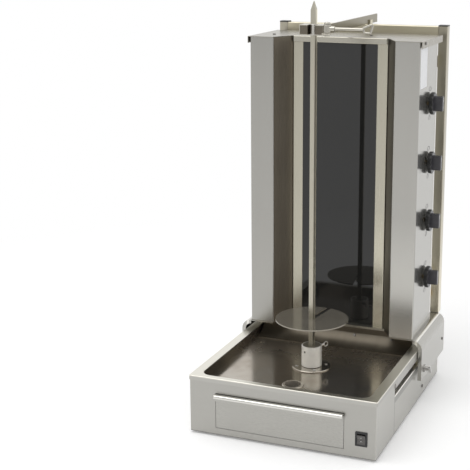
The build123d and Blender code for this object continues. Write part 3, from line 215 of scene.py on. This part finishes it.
def base_seam_and_painted_light(steel, shade):
    """The outer sides, painted paler as painted light; the set-in strip under the slide slot,
    painted darker as painted shade, with a painted highlight along its top edge; the dark seam
    where the front shell meets the side panels; and a painted shadow along the lower edge."""
    low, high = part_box("side_panels")
    strip_width, edge_width, seam_half, foot_height = 0.018, 0.0022, 0.001, 0.0014
    height, distance = steel.along("Z"), steel.along("Y")
    behind_seam = distance > low.y
    painted_shade_strip = (height > high.z - strip_width) * behind_seam
    edge = (height > high.z - edge_width) * behind_seam
    seam = abs(distance - low.y) < seam_half
    painted_light_side = abs(steel.along("X")) > high.x - skin
    foot = height < low.z + foot_height
    # painted light and shade: paler sides, a darker strip, a highlight on the slot's edge, a shadow
    # at the foot
    shade = steel.mix(shade, tint(sheet_grey, 1.3), painted_light_side * 0.5)
    shade = steel.mix(shade, tint(sheet_grey, 0.75), painted_shade_strip)
    shade = steel.mix(shade, tint(sheet_grey, 2.1), edge)
    return steel.mix(shade, tint(sheet_grey, 0.25), seam + foot * 0.8)


level_sheet = brushed("level_brushed_steel", sheet_grey, 0.30, "XY", marks_and_painted_light=base_seam_and_painted_light)
inner_sheet = brushed("inner_sheet_steel", tint(sheet_grey, 0.85), 0.4, "Y")
dress(level_sheet, "front_shell", "side_panels", "rear_panel")
dress(inner_sheet, "base_floor", "guide_rails", "drawer_runners", "motor_bracket")

# ---- Drip pan: pressed from one sheet. Its rim and its down-turned flange are brushed, and the
# rim's top is painted paler than the flange as painted light. Its bowl is polished and carries
# brownish films of fat, baked on towards the back.
pan_low, pan_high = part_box("drip_pan")
flange = 0.010
rim_painted_light = (0.71, 0.69, 0.62)
bowl_clean = (0.46, 0.425, 0.37)
bowl_filmed = (0.385, 0.34, 0.28)
bowl_baked = (0.43, 0.375, 0.31)
pan = Finish("pan_steel")
distance = pan.along("Y")
within_flange = (abs(pan.along("X")) < pan_high.x - flange) * (distance > pan_low.y + flange)
within_flange = within_flange * (distance < pan_high.y - flange)
centimetres_down = (pan_high.z - pan.along("Z")) * 100
below_top = pan.ramp(centimetres_down, (0.18, 0), (0.3, 1))
bowl = below_top * within_flange
wiped = pan.noise(0.05, drawn("Y", 4), 3)
films = pan.ramp(pan.noise(0.09, detail=4, roughness=0.6), (0.42, 0), (0.66, 1))
rim_lines = pan.noise(grain_width, drawn("X", grain_length), 3)
streaks = pan.noise(0.012, drawn("Y", 14), 3)
smeared = pan.noise(0.012, drawn("X", 12))
towards_back = distance * 4 + 1.0  # from 0 at y -0.25 to 1 at y 0
baked_on = pan.ramp(towards_back, (0.2, 0), (0.9, 1)) * bowl
bowl_colour = pan.mix(bowl_clean, bowl_filmed, films)
bowl_colour = pan.mix(bowl_colour, bowl_baked, baked_on * smeared)
# painted light: the rim's top takes the paler colour, the flange the sheet's grey
rim_colour = pan.mix(rim_painted_light, tint(sheet_grey, 1.08), below_top * (1 - within_flange))
polish = 0.26 - bowl * 0.2 + films * bowl * 0.08 + wiped * 0.05 + streaks * 0.07
pan_material = pan.done(
    Base_Color=pan.mix(rim_colour, bowl_colour, bowl),
    Metallic=1 - bowl * 0.06,
    Roughness=polish + baked_on * (smeared * 0.06 + 0.12),
    Normal=pan.bump(rim_lines * (1 - bowl), 0.00002, 0.25),
)
dress(pan_material, "drip_pan")


# ---- Drain spout and motor flange: both turned from stainless and let into the pan's floor. The
# flange carries the lathe's fine marks, and a film of grease dulls the spout.
def turned(name, colour, roughness, size=0.0015):
    """Bright turned metal with fine marks and a little tarnish."""
    metal = Finish(name, Metallic=1)
    marks = metal.noise(size, detail=3)
    tarnish = metal.noise(0.02, detail=3)
    tone = tarnish * 0.6 + marks * 0.4
    return metal.done(
        Base_Color=metal.mix(tint(colour, 0.82), tint(colour, 1.12), tone),
        Roughness=marks * 0.12 + tarnish * 0.08 + (roughness - 0.1),
        Normal=metal.bump(marks, 0.00003, 0.3),
    )


spout_clean, spout_greasy = (0.66, 0.62, 0.55), (0.42, 0.37, 0.30)
spout = Finish("drain_steel", Metallic=0.7)
grease = spout.noise(0.008, detail=3)
spout_material = spout.done(
    Base_Color=spout.mix(spout_clean, spout_greasy, grease),
    Roughness=grease * 0.15 + 0.18,
)
dress(spout_material, "drain_spout")
flange_steel = turned("flange_steel", (0.42, 0.385, 0.335), 0.18, size=0.004)
dress(flange_steel, "motor_flange")

# ---- Grease drawer: a folded sheet front with a lip to pull it by, spot welded to a shallow tray.
# The lip's nose is painted bright as a painted highlight.
painted_highlight_grey = (0.66, 0.65, 0.61)


def lip_painted_highlight(steel, shade):
    """The lip's nose, painted bright as a painted highlight."""
    low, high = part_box("drawer_front")
    nose_depth, nose_height = 0.011, 0.008
    nose = (steel.along("Y") < low.y + nose_depth) * (steel.along("Z") > high.z - nose_height)
    return steel.mix(shade, painted_highlight_grey, nose)


dress(brushed("drawer_steel", sheet_grey, 0.27, "X", marks_and_painted_light=lip_painted_highlight), "drawer_front")
dress(inner_sheet, "drawer_box")


# ---- Switch: a moulded bezel that snaps into the front panel, with a rocker that turns on two
# trunnions. The rocker is a little paler and shinier, and has a white bar and ring printed on it.
def moulded(name, colour, roughness):
    """Moulded plastic with a fine texture and a few rubbed spots."""
    plastic = Finish(name)
    texture = plastic.noise(0.0006)
    rubbed = plastic.ramp(plastic.noise(0.012, detail=3), (0.5, 0), (0.75, 1))
    return plastic.done(
        Base_Color=plastic.mix(colour, tint(colour, 1.8), rubbed),
        Roughness=texture * 0.15 + (roughness - 0.07) - rubbed * 0.05,
        Normal=plastic.bump(texture, 0.00005, 0.3),
    )


def add_piece(shape, name, body, material):
    """Turns a finished bmesh into a piece that rides on a body."""
    bmesh.ops.recalc_face_normals(shape, faces=shape.faces)
    mesh = bpy.data.meshes.new(name)
    shape.to_mesh(mesh)
    shape.free()
    mesh.materials.append(material)
    piece = bpy.data.objects.new(name, mesh)
    scene.collection.objects.link(piece)
    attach(piece, body)


def add_bar(shape, size, where):
    """Adds a small bar with rounded edges, placed by a matrix."""
    bar = bmesh.ops.create_cube(shape, size=1, matrix=Matrix.Diagonal((*size, 1)))
    edges = {edge for vertex in bar["verts"] for edge in vertex.link_edges}
    rounded = bmesh.ops.bevel(
        shape,
        geom=list(edges),
        offset=min(size) * 0.3,
        affect="EDGES",
        segments=2,
        profile=0.5,
        material=-1,
    )
    corners = {vertex for face in rounded["faces"] for vertex in face.verts}
    bmesh.ops.transform(shape, verts=list(corners), matrix=where)


def add_ring(shape, radius, width, thickness, where, sides=28, point=0.0):
    """Adds a flat ring, placed by a matrix. point draws its top corner out into a drop."""
    disc = bmesh.ops.create_circle(shape, cap_ends=True, segments=sides, radius=radius)
    top = max(disc["verts"], key=lambda vertex: vertex.co.y)
    bmesh.ops.translate(shape, verts=[top], vec=(0, point, 0))
    face = top.link_faces[0]
    rim = bmesh.ops.inset_region(
        shape, faces=[face], thickness=width, use_boundary=True, use_even_offset=True
    )["faces"]
    bmesh.ops.delete(shape, geom=[face], context="FACES")
    wall = bmesh.ops.solidify(shape, geom=rim, thickness=thickness)["geom"]
    faces = rim + [item for item in wall if isinstance(item, bmesh.types.BMFace)]
    corners = {vertex for face in faces for vertex in face.verts}
    bmesh.ops.transform(shape, verts=list(corners), matrix=where)


black_plastic = moulded("black_plastic", (0.014, 0.014, 0.014), 0.32)
mark_white = moulded("mark_white", (0.62, 0.62, 0.60), 0.5)
dress(black_plastic, "switch_bezel", "inlet_gland")
dress(moulded("rocker_plastic", (0.09, 0.085, 0.08), 0.22), "switch_rocker")

bezel_low, bezel_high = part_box("switch_bezel")
pivot_depth = 0.008
pivot = (bezel_low + bezel_high) / 2
pivot.y = bezel_low.y + pivot_depth
rocker_tilt, rocker_slope, upright = radians(8), radians(16.4), radians(90)
rocker_turn = Matrix.Translation(pivot) @ Matrix.Rotation(rocker_tilt, 4, "X")
face_out, face_up = 0.0080, 0.0060
upper_face = Matrix.Translation((0, -face_out, face_up))
upper_face = upper_face @ Matrix.Rotation(upright - rocker_slope, 4, "X")
lower_face = Matrix.Translation((0, -face_out, -face_up))
lower_face = lower_face @ Matrix.Rotation(upright + rocker_slope, 4, "X")
rocker_marks = bmesh.new()
bar_size = (0.0009, 0.0046, 0.0004)
ring_radius, ring_width, ring_thickness = 0.0024, 0.0008, 0.0003
add_bar(rocker_marks, bar_size, rocker_turn @ upper_face)
add_ring(rocker_marks, ring_radius, ring_width, ring_thickness, rocker_turn @ lower_face)
add_piece(rocker_marks, "rocker_marks", "rocker", mark_white)

# ---- Feet: turned rubber pucks at the corners of the base, screwed to the floor plate from below.
# They have picked up dust.
rubber_black, rubber_dusty = (0.02, 0.02, 0.02), (0.06, 0.058, 0.055)
rubber = Finish("foot_rubber")
scuffs = rubber.noise(0.004, detail=4)
rubber_material = rubber.done(
    Base_Color=rubber.mix(rubber_black, rubber_dusty, scuffs),
    Roughness=scuffs * 0.2 + 0.65,
    Normal=rubber.bump(scuffs, 0.0002, 0.4),
)
dress(rubber_material, "feet")

# ---- Screws: zinc plated or stainless heads, fine turned. Those of the pan and the feet are still
# bright, and grease has dulled the others.
screw_steel = turned("screw_steel", (0.50, 0.49, 0.47), 0.22)
dulled_screw = turned("dark_screw_steel", (0.14, 0.13, 0.12), 0.3)
dress(screw_steel, "flange_screws", "foot_screws")
dress(dulled_screw, "base_screws", "cabinet_screws", "hub_set_screw")

# ---- Gear motor: a cast gearbox and a painted motor can, out of sight under the pan. Both carry
# the grain of the sand mould.
casting_dark, casting_pale = (0.36, 0.36, 0.37), (0.50, 0.50, 0.51)
casting = Finish("cast_housing", Metallic=0.8)
sand = casting.noise(0.0015, detail=4, roughness=0.7)
casting_material = casting.done(
    Base_Color=casting.mix(casting_dark, casting_pale, sand),
    Roughness=sand * 0.2 + 0.45,
    Normal=casting.bump(sand, 0.0003, 0.5),
)
dress(casting_material, "gearbox", "drive_motor")

# ---- Drive hub: a turned aluminium sleeve on the output shaft. The tool has left fine rings round
# it. Its sides are mottled, and its top face is darker than its sides.
hub_low, hub_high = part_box("drive_hub")
hub_centre = (hub_low + hub_high) / 2
hub_radius = (hub_high.x - hub_low.x) / 2
hub_edge = 0.0035
hub_dark, hub_pale, hub_top_dark = (0.84, 0.83, 0.78), (1.0, 0.985, 0.93), (0.36, 0.335, 0.28)
hub = Finish("hub_aluminium", Metallic=0.6)
rings = hub.node(
    "ShaderNodeTexWave",
    {"bands_direction": "Z"},
    {"Vector": hub.place(), "Scale": 400, "Distortion": 1.5, "Detail": 2},
)
dull = hub.noise(0.012, detail=4, roughness=0.6)
from_centre = hub.node(
    "ShaderNodeVectorMath", {"operation": "DISTANCE"}, {0: hub.place(), 1: hub_centre}, output=1
)
top_reach = ((hub_radius - hub_edge) ** 2 + (hub_high.z - hub_centre.z) ** 2) ** 0.5
hub_top = (hub.along("Z") > hub_high.z - skin / 2) * (from_centre < top_reach)
hub_side = hub.mix(hub_dark, hub_pale, dull)
hub_material = hub.done(
    Base_Color=hub.mix(hub_side, hub_top_dark, hub_top),
    Roughness=dull * 0.15 + 0.36,
    Normal=hub.bump(rings, 0.00004, 0.4),
)
dress(hub_material, "drive_hub")

# ---- Spit: a square stainless bar, ground along its length and pointed at the top, with its
# bearing sleeve, the collar of the disc and the pin that locks it in the hub.
spit_straw = (0.46, 0.435, 0.36)


def spit_painted_lit_face(steel, shade):
    """The right face of the bar, painted brighter than the others as painted light."""
    right_face = steel.along("X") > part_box("spit_bar")[1].x - skin / 2
    return steel.mix(shade, tint(spit_straw, 2.1), right_face)


sleeve_steel = turned("sleeve_steel", (0.58, 0.56, 0.52), 0.28)
dress(brushed("spit_steel", spit_straw, 0.28, "Z", width=0.0008, marks_and_painted_light=spit_painted_lit_face), "spit_bar")
dress(sleeve_steel, "top_journal", "disc_collar", "output_shaft", "hub_pin")

# ---- Meat disc: laser cut from polished sheet, with a slot to slip it over the bar. Knives and
# meat have left dull patches on it.
disc_dark, disc_pale = (0.24, 0.22, 0.18), (0.34, 0.315, 0.265)
plate = Finish("disc_steel", Metallic=0.62)
plate_wear = plate.noise(0.03, detail=4)
plate_material = plate.done(
    Base_Color=plate.mix(disc_dark, disc_pale, plate_wear),
    Roughness=plate_wear * 0.07 + 0.09,
)
dress(plate_material, "meat_disc")

# ---- Cabinet: each side is one tall sheet, brushed from top to bottom and bent into the front
# face, the panel at the side and the wing beside the glass. The wings have browned in the heat.
# The left sheet is painted a little darker as painted shade, the right one's front is painted paler
# towards its foot as painted light, and the right wing is painted much darker as painted shade.
column_low, column_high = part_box("column_right")
wing_edge = 0.1622  # from the middle to the bend between wing and front face
browned_light, browned_dark = (0.34, 0.303, 0.247), (0.22, 0.188, 0.145)
right_wing_painted_dark = (0.07, 0.06, 0.044)
column = Finish("column_steel", Metallic=0.92)
sideways = column.along("X")
on_right = sideways > 0
on_wing = abs(sideways) < wing_edge
on_side = abs(sideways) > column_high.x - skin
column_lines, column_smears, clean = sheet_grain(column, sheet_grey, "Z")
# painted shade: the left sheet a little darker
clean = column.mix(clean, tint(sheet_grey, 0.82), (sideways < 0) * 0.4)
# painted light: the right sheet's front paler towards its foot
painted_light_foot = column.ramp(column.along("Z"), (0.15, 1), (0.5, 0)) * on_right
clean = column.mix(clean, tint(sheet_grey, 1.5), painted_light_foot * (1 - on_side))
heat = column.noise(0.05, drawn("Z", 12), 3)
browned = column.mix(browned_dark, browned_light, heat)
# painted shade: the right wing much darker than the left
browned = column.mix(browned, right_wing_painted_dark, on_right)
column_grain = column_lines * 0.1 + column_smears * 0.08 + 0.15
column_material = column.done(
    Base_Color=column.mix(clean, browned, on_wing),
    Roughness=column_grain - on_side * 0.06 + on_wing * 0.12,
    Normal=column.bump(column_lines * (1 - on_wing * 0.8), 0.00002, 0.22),
)
dress(column_material, "column_left", "column_right")
dress(brushed("cover_steel", sheet_grey, 0.26, "Z"), "back_cover")

# ---- Printed marks beside the knobs: a broad hexagon above for off and a flame below for on, in
# grey ink, and a blank white sticker near the top of the panel.
panel_x = column_high.x
print_thickness = 0.0001
knob_boxes = [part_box(f"knob_{number}") for number in (1, 2, 3, 4)]
knob_centres = [(low + high) / 2 for low, high in knob_boxes]
ink_grey = moulded("ink_grey", (0.11, 0.11, 0.11), 0.4)
facing_right = Matrix.Rotation(radians(90), 4, "Z") @ Matrix.Rotation(radians(90), 4, "X")
broad = Matrix.Diagonal((2.3, 1, 1, 1))
hexagon_up, hexagon_radius, hexagon_line = 0.037, 0.0062, 0.0016
flame_down, flame_radius, flame_line, flame_point = 0.038, 0.0048, 0.0014, 0.0050
above = Matrix.Translation((0, 0, hexagon_up)) @ facing_right @ broad
below = Matrix.Translation((0, 0, -flame_down)) @ facing_right @ broad
prints = bmesh.new()
for centre in knob_centres:
    on_panel = Matrix.Translation((panel_x + print_thickness, centre.y, centre.z))
    hexagon_place, flame_place = on_panel @ above, on_panel @ below
    add_ring(prints, hexagon_radius, hexagon_line, print_thickness, hexagon_place, sides=6)
    add_ring(prints, flame_radius, flame_line, print_thickness, flame_place, 12, flame_point)
add_piece(prints, "dial_marks", "heater", ink_grey)

paper_dull, paper_white = (0.74, 0.75, 0.76), (0.84, 0.85, 0.86)
paper = Finish("sticker_white", Specular_IOR_Level=0.4)
creases = paper.noise(0.01, detail=3)
paper_material = paper.done(
    Base_Color=paper.mix(paper_dull, paper_white, creases),
    Roughness=creases * 0.15 + 0.35,
    Normal=paper.bump(creases, 0.0001, 0.3),
)
sticker_size = (0.0002, 0.066, 0.100)
from_front, from_top = 0.041, 0.068
sticker_centre = (panel_x + print_thickness, column_low.y + from_front, column_high.z - from_top)
sticker = bmesh.new()
add_bar(sticker, sticker_size, Matrix.Translation(sticker_centre))
add_piece(sticker, "blank_sticker", "heater", paper_material)

# ---- Lid and bottom plate: cut to the cabinet's outline and folded down at the sides. They are a
# darker, yellower grey than the side panels.
lid_dull = (0.34, 0.32, 0.275)
dress(brushed("lid_steel", lid_dull, 0.27, "X"), "lid", "bottom_plate")

# ---- Apron: one sheet that hangs under the glass and sweeps down to the pan, darkened by heat and
# fat that has run down it.
apron_dark, apron_brown = (0.115, 0.099, 0.071), (0.22, 0.193, 0.153)
baked = Finish("apron_steel", Metallic=0.8)
runs = baked.noise(0.02, drawn("YZ", 5), 4)
stains = baked.noise(0.07, detail=4, roughness=0.6)
apron_tone = runs * 0.5 + stains * 0.5
apron_material = baked.done(
    Base_Color=baked.mix(apron_dark, apron_brown, apron_tone),
    Roughness=stains * 0.2 + runs * 0.1 + 0.2,
    Normal=baked.bump(runs, 0.0002, 0.2),
)
dress(apron_material, "apron")

# ---- Glass front: a black glass-ceramic pane between two bright trims, over a folded sill and
# under a folded rail. The trims have taken a straw tint from the burners.
glass_black, glass_hazed = (0.009, 0.009, 0.0085), (0.017, 0.017, 0.016)
trim_straw, rail_straw = (0.47, 0.445, 0.365), (0.44, 0.42, 0.36)
pane = Finish("tinted_glass", IOR=1.5)
haze = pane.noise(0.25, drawn("Z", 2), 3)
pane_material = pane.done(
    Base_Color=pane.mix(glass_black, glass_hazed, haze),
    Roughness=haze * 0.03 + 0.02,
)
dress(pane_material, "glass_panel")


def trim_painted_light(steel, shade):
    """The right trim, painted paler towards its foot as painted light."""
    foot = steel.ramp(steel.along("Z"), (0.2, 1), (0.5, 0)) * (steel.along("X") > 0)
    return steel.mix(shade, tint(trim_straw, 1.6), foot)


dress(brushed("trim_steel", trim_straw, 0.25, "Z", marks_and_painted_light=trim_painted_light), "side_trims")
dress(brushed("rail_steel", rail_straw, 0.24, "X"), "glass_rails")

# ---- Burners: folded boxes behind the glass, burnt dark, each closed at the front by a ceramic
# tile drilled with hundreds of small holes for the gas.
burnt_dark, burnt_brown = (0.10, 0.09, 0.085), (0.24, 0.20, 0.17)
burnt = Finish("burner_metal", Metallic=0.6)
burnt_patches = burnt.noise(0.01, detail=4)
burnt_material = burnt.done(
    Base_Color=burnt.mix(burnt_dark, burnt_brown, burnt_patches),
    Roughness=burnt_patches * 0.2 + 0.5,
)
dress(burnt_material, "burner_boxes")
hole_brown, ceramic_cream = (0.30, 0.22, 0.15), (0.80, 0.74, 0.64)
tile = Finish("ceramic")
holes = tile.node("ShaderNodeTexVoronoi", sockets={"Vector": tile.place(), "Scale": 220})
drilled = tile.ramp(holes, (0.25, 0), (0.35, 1))
tile_material = tile.done(
    Base_Color=tile.mix(hole_brown, ceramic_cream, drilled),
    Roughness=0.85,
    Normal=tile.bump(drilled, 0.001, 0.6),
)
dress(tile_material, "burner_tiles")

# ---- Gas line: four brass valves, a riser behind them with a threaded inlet at the back, and
# drawn pipes from the valves to the burners.
brass = turned("gas_brass", (0.70, 0.55, 0.28), 0.3, size=0.003)
dress(brass, "gas_valves", "gas_manifold", "injector_pipes")

# ---- Knobs: moulded black plastic with a bar grip on a fluted skirt, pushed on the valve spindles.
# A white line on the end of the grip points at the marks.
grip_reach = 0.0215
line_size, line_up, line_sunk = (0.0004, 0.0020, 0.0120), 0.0100, 0.0001
grip_black, grip_greasy = (0.036, 0.035, 0.040), (0.054, 0.051, 0.058)
skirt_black = (0.008, 0.008, 0.008)
knob = Finish("knob_plastic")
knob_grit = knob.noise(0.0006)
knob_grease = knob.ramp(knob.noise(0.012, detail=3), (0.5, 0), (0.75, 1))
on_skirt = knob.along("X") < knob_boxes[0][1].x - grip_reach
grip_colour = knob.mix(grip_black, grip_greasy, knob_grease)
knob_material = knob.done(
    Base_Color=knob.mix(grip_colour, skirt_black, on_skirt),
    Roughness=knob_grit * 0.12 + 0.20 - knob_grease * 0.04 - on_skirt * 0.08,
    Normal=knob.bump(knob_grit, 0.00004, 0.3),
)
dress(knob_material, "knob_1", "knob_2", "knob_3", "knob_4")
for letter, (_, knob_high), centre in zip("abcd", knob_boxes, knob_centres):
    line = bmesh.new()
    grip_end = (knob_high.x - line_sunk, centre.y, centre.z + line_up)
    add_bar(line, line_size, Matrix.Translation(grip_end))
    add_piece(line, f"knob_line_{letter}", f"knob_{letter}", mark_white)


# ---- Side skirts: heavy saddles bent over the base's sides, which carry the slide blocks. A wing
# screw in each clamps the heater where it stands.
def skirt_painted_highlight(steel, shade):
    """The broad bend along the top, painted bright as a painted highlight."""
    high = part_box("side_skirts")[1]
    bend_outer, bend_inner = high.x - 0.013, high.x - 0.020
    sideways = abs(steel.along("X"))
    highlight_band = (sideways > bend_inner) * (sideways < bend_outer)
    return steel.mix(shade, tint(sheet_grey, 1.9), highlight_band)


skirt_sheet = brushed("skirt_steel", tint(sheet_grey, 1.1), 0.22, "Y", marks_and_painted_light=skirt_painted_highlight)
dress(skirt_sheet, "side_skirts")
dress(screw_steel, "clamp_screw_left", "clamp_screw_right")

# ---- Mast: two square tubes with a crossbar welded between them, in dull straw-tinted stainless
# that is paler towards the foot. Black plastic caps close the tubes, and brackets tie them to the
# cover.
mast_straw = (0.46, 0.43, 0.35)


def mast_paler_foot(steel, shade):
    """Paler towards the lower ends."""
    foot = steel.ramp(steel.along("Z"), (0.2, 1), (0.55, 0))
    return steel.mix(shade, tint(mast_straw, 1.7), foot)


cross_steel = brushed("cross_steel", (0.62, 0.575, 0.44), 0.30, "X")
dress(brushed("mast_steel", mast_straw, 0.30, "Z", marks_and_painted_light=mast_paler_foot), "mast_tubes")
dress(cross_steel, "crossbar", "mast_brackets", "slide_blocks")
dress(moulded("cap_plastic", (0.008, 0.008, 0.008), 0.4), "tube_caps")

cross_low, cross_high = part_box("crossbar")
tube_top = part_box("mast_tubes")[1].z
bead_radius, bead_count = 0.0016, 9
bead_step = (cross_high.y - cross_low.y) / bead_count
flattened = Matrix.Diagonal((1.2, 1, 0.55, 1))
beads = bmesh.new()
for x in (cross_low.x, cross_high.x):
    for i in range(bead_count):
        spot = (x, cross_low.y + (i + 0.5) * bead_step, tube_top - bead_radius / 2)
        where = Matrix.Translation(spot) @ flattened
        bmesh.ops.create_icosphere(beads, subdivisions=2, radius=bead_radius, matrix=where)
bead_steel = turned("bead_steel", (0.40, 0.36, 0.31), 0.3)
add_piece(beads, "mast_welds", "heater", bead_steel)

# ---- Arm: a flat bar from the crossbar to the bracket that holds the spit's bearing, which a rod
# with a bent loop latches shut. The arm is a dark brownish steel, and the bracket's hollow is
# painted dark as painted shade.
dress(brushed("arm_steel", (0.275, 0.25, 0.19), 0.32, "Y"), "spit_arm")
bracket_low, bracket_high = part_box("top_bracket")
hollow_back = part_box("spit_arm")[0].y - 0.001  # just in front of the arm's end
hollow_half, bracket_sheet = 0.0295, 0.0015
bracket_pale, bracket_painted_shade = (0.54, 0.51, 0.44), (0.17, 0.15, 0.12)
clip = Finish("bracket_steel", Metallic=1)
clip_lines = clip.noise(grain_width, drawn("X", grain_length), 3)
height = clip.along("Z")
# painted shade: the inside of the bracket's channel
shaded_hollow = (abs(clip.along("X")) < hollow_half) * (clip.along("Y") < hollow_back)
shaded_hollow = shaded_hollow * (height > bracket_low.z + bracket_sheet)
shaded_hollow = shaded_hollow * (height < bracket_high.z - bracket_sheet)
clip_material = clip.done(
    Base_Color=clip.mix(bracket_pale, bracket_painted_shade, shaded_hollow),
    Roughness=clip_lines * 0.1 + 0.22,
)
dress(clip_material, "top_bracket")
latch_steel = turned("latch_steel", (0.44, 0.42, 0.37), 0.22, size=0.004)
dress(latch_steel, "latch_rod", "latch_pivot")

# ---- Floor: a pale matt disc that runs out into plain white a few metres from the object. Seen
# straight or in a mirror, it is lifted a little, so that it stays paler than its own shading.
floor_shape = bmesh.new()
bmesh.ops.create_circle(floor_shape, cap_ends=True, segments=96, radius=14)
floor_mesh = bpy.data.meshes.new("floor")
floor_shape.to_mesh(floor_mesh)
floor_shape.free()
floor = bpy.data.objects.new("floor", floor_mesh)
scene.collection.objects.link(floor)

pale = Finish("pale_floor", Base_Color=(0.93, 0.93, 0.93), Roughness=0.9, Specular_IOR_Level=0.1)
reach = pale.node("ShaderNodeVectorMath", {"operation": "LENGTH"}, {0: pale.place()}, output=1)
seen = pale.node("ShaderNodeLightPath", output="Is Camera Ray")
mirrored = pale.node("ShaderNodeLightPath", output="Is Glossy Ray")
lift_level = 0.17
lift_strength = (seen + mirrored) * lift_level
lift = pale.node("ShaderNodeEmission", sockets={"Color": (1, 1, 1), "Strength": lift_strength})
matt = Socket(pale, pale.shader.outputs[0])
lifted = pale.node("ShaderNodeAddShader", sockets={0: matt, 1: lift})
white = pale.node("ShaderNodeEmission", sockets={"Color": (1, 1, 1), "Strength": 1.0})
fade = pale.ramp(reach * 0.25, (0.2, 0), (0.5, 1))
floor_surface = pale.node("ShaderNodeMixShader", sockets={0: fade, 1: lifted, 2: white})
pale.feed(pale.tree.nodes["Material Output"], {"Surface": floor_surface})
floor_mesh.materials.append(pale.material)


# ---- Light: one large soft box overhead in a bright room. In mirrored rays the room is darker
# behind the camera and brighter overhead, which is what the fronts and tops of the sheets show.
class Room(Finish):
    """The world, made with the same calls as a finish."""

    def __init__(self, world):
        world.use_nodes = True
        self.tree = world.node_tree
        self.shader = self.tree.nodes["Background"]

    def rise(self, value, start, end, low, high):
        """Goes smoothly from low to high as value goes from start to end."""
        return self.node(
            "ShaderNodeMapRange",
            {"interpolation_type": "SMOOTHSTEP"},
            {"Value": value, "From Min": start, "From Max": end, "To Min": low, "To Max": high},
        )

    def facing(self, axis):
        """The x, y or z of the direction looked in."""
        way = self.node("ShaderNodeTexCoord", output="Generated")
        return self.node("ShaderNodeSeparateXYZ", sockets={0: way}, output=axis)

    def per_ray(self, kind, level, rest):
        """One level for a kind of ray, and another for the rest."""
        of_kind = self.node("ShaderNodeLightPath", output=kind)
        return self.node("ShaderNodeMix", sockets={"Factor": of_kind, "A": rest, "B": level})


scene.world = bpy.data.worlds.new("studio")
room = Room(scene.world)
walls = room.rise(room.facing("Y"), start=-1.0, end=0.1, low=0.57, high=1.0)
ceiling = room.rise(room.facing("Z"), start=0.35, end=0.7, low=0.0, high=0.45)
room_level = room.per_ray("Is Glossy Ray", walls + ceiling, rest=0.79)
room_level = room.per_ray("Is Camera Ray", 1.0, rest=room_level)
room.feed(room.shader, {"Color": (1, 1, 1), "Strength": room_level})

lamp = bpy.data.lights.new("key_light", "AREA")
lamp.size = 3.0
lamp.energy = 48
soft_box = bpy.data.objects.new("key_light", lamp)
scene.collection.objects.link(soft_box)
soft_box.location = (-1.0, -1.4, 3.8)
aim = Vector((0, 0, 0.4)) - soft_box.location
soft_box.rotation_euler = aim.to_track_quat("-Z", "Y").to_euler()
scene.view_settings.view_transform = "Standard"
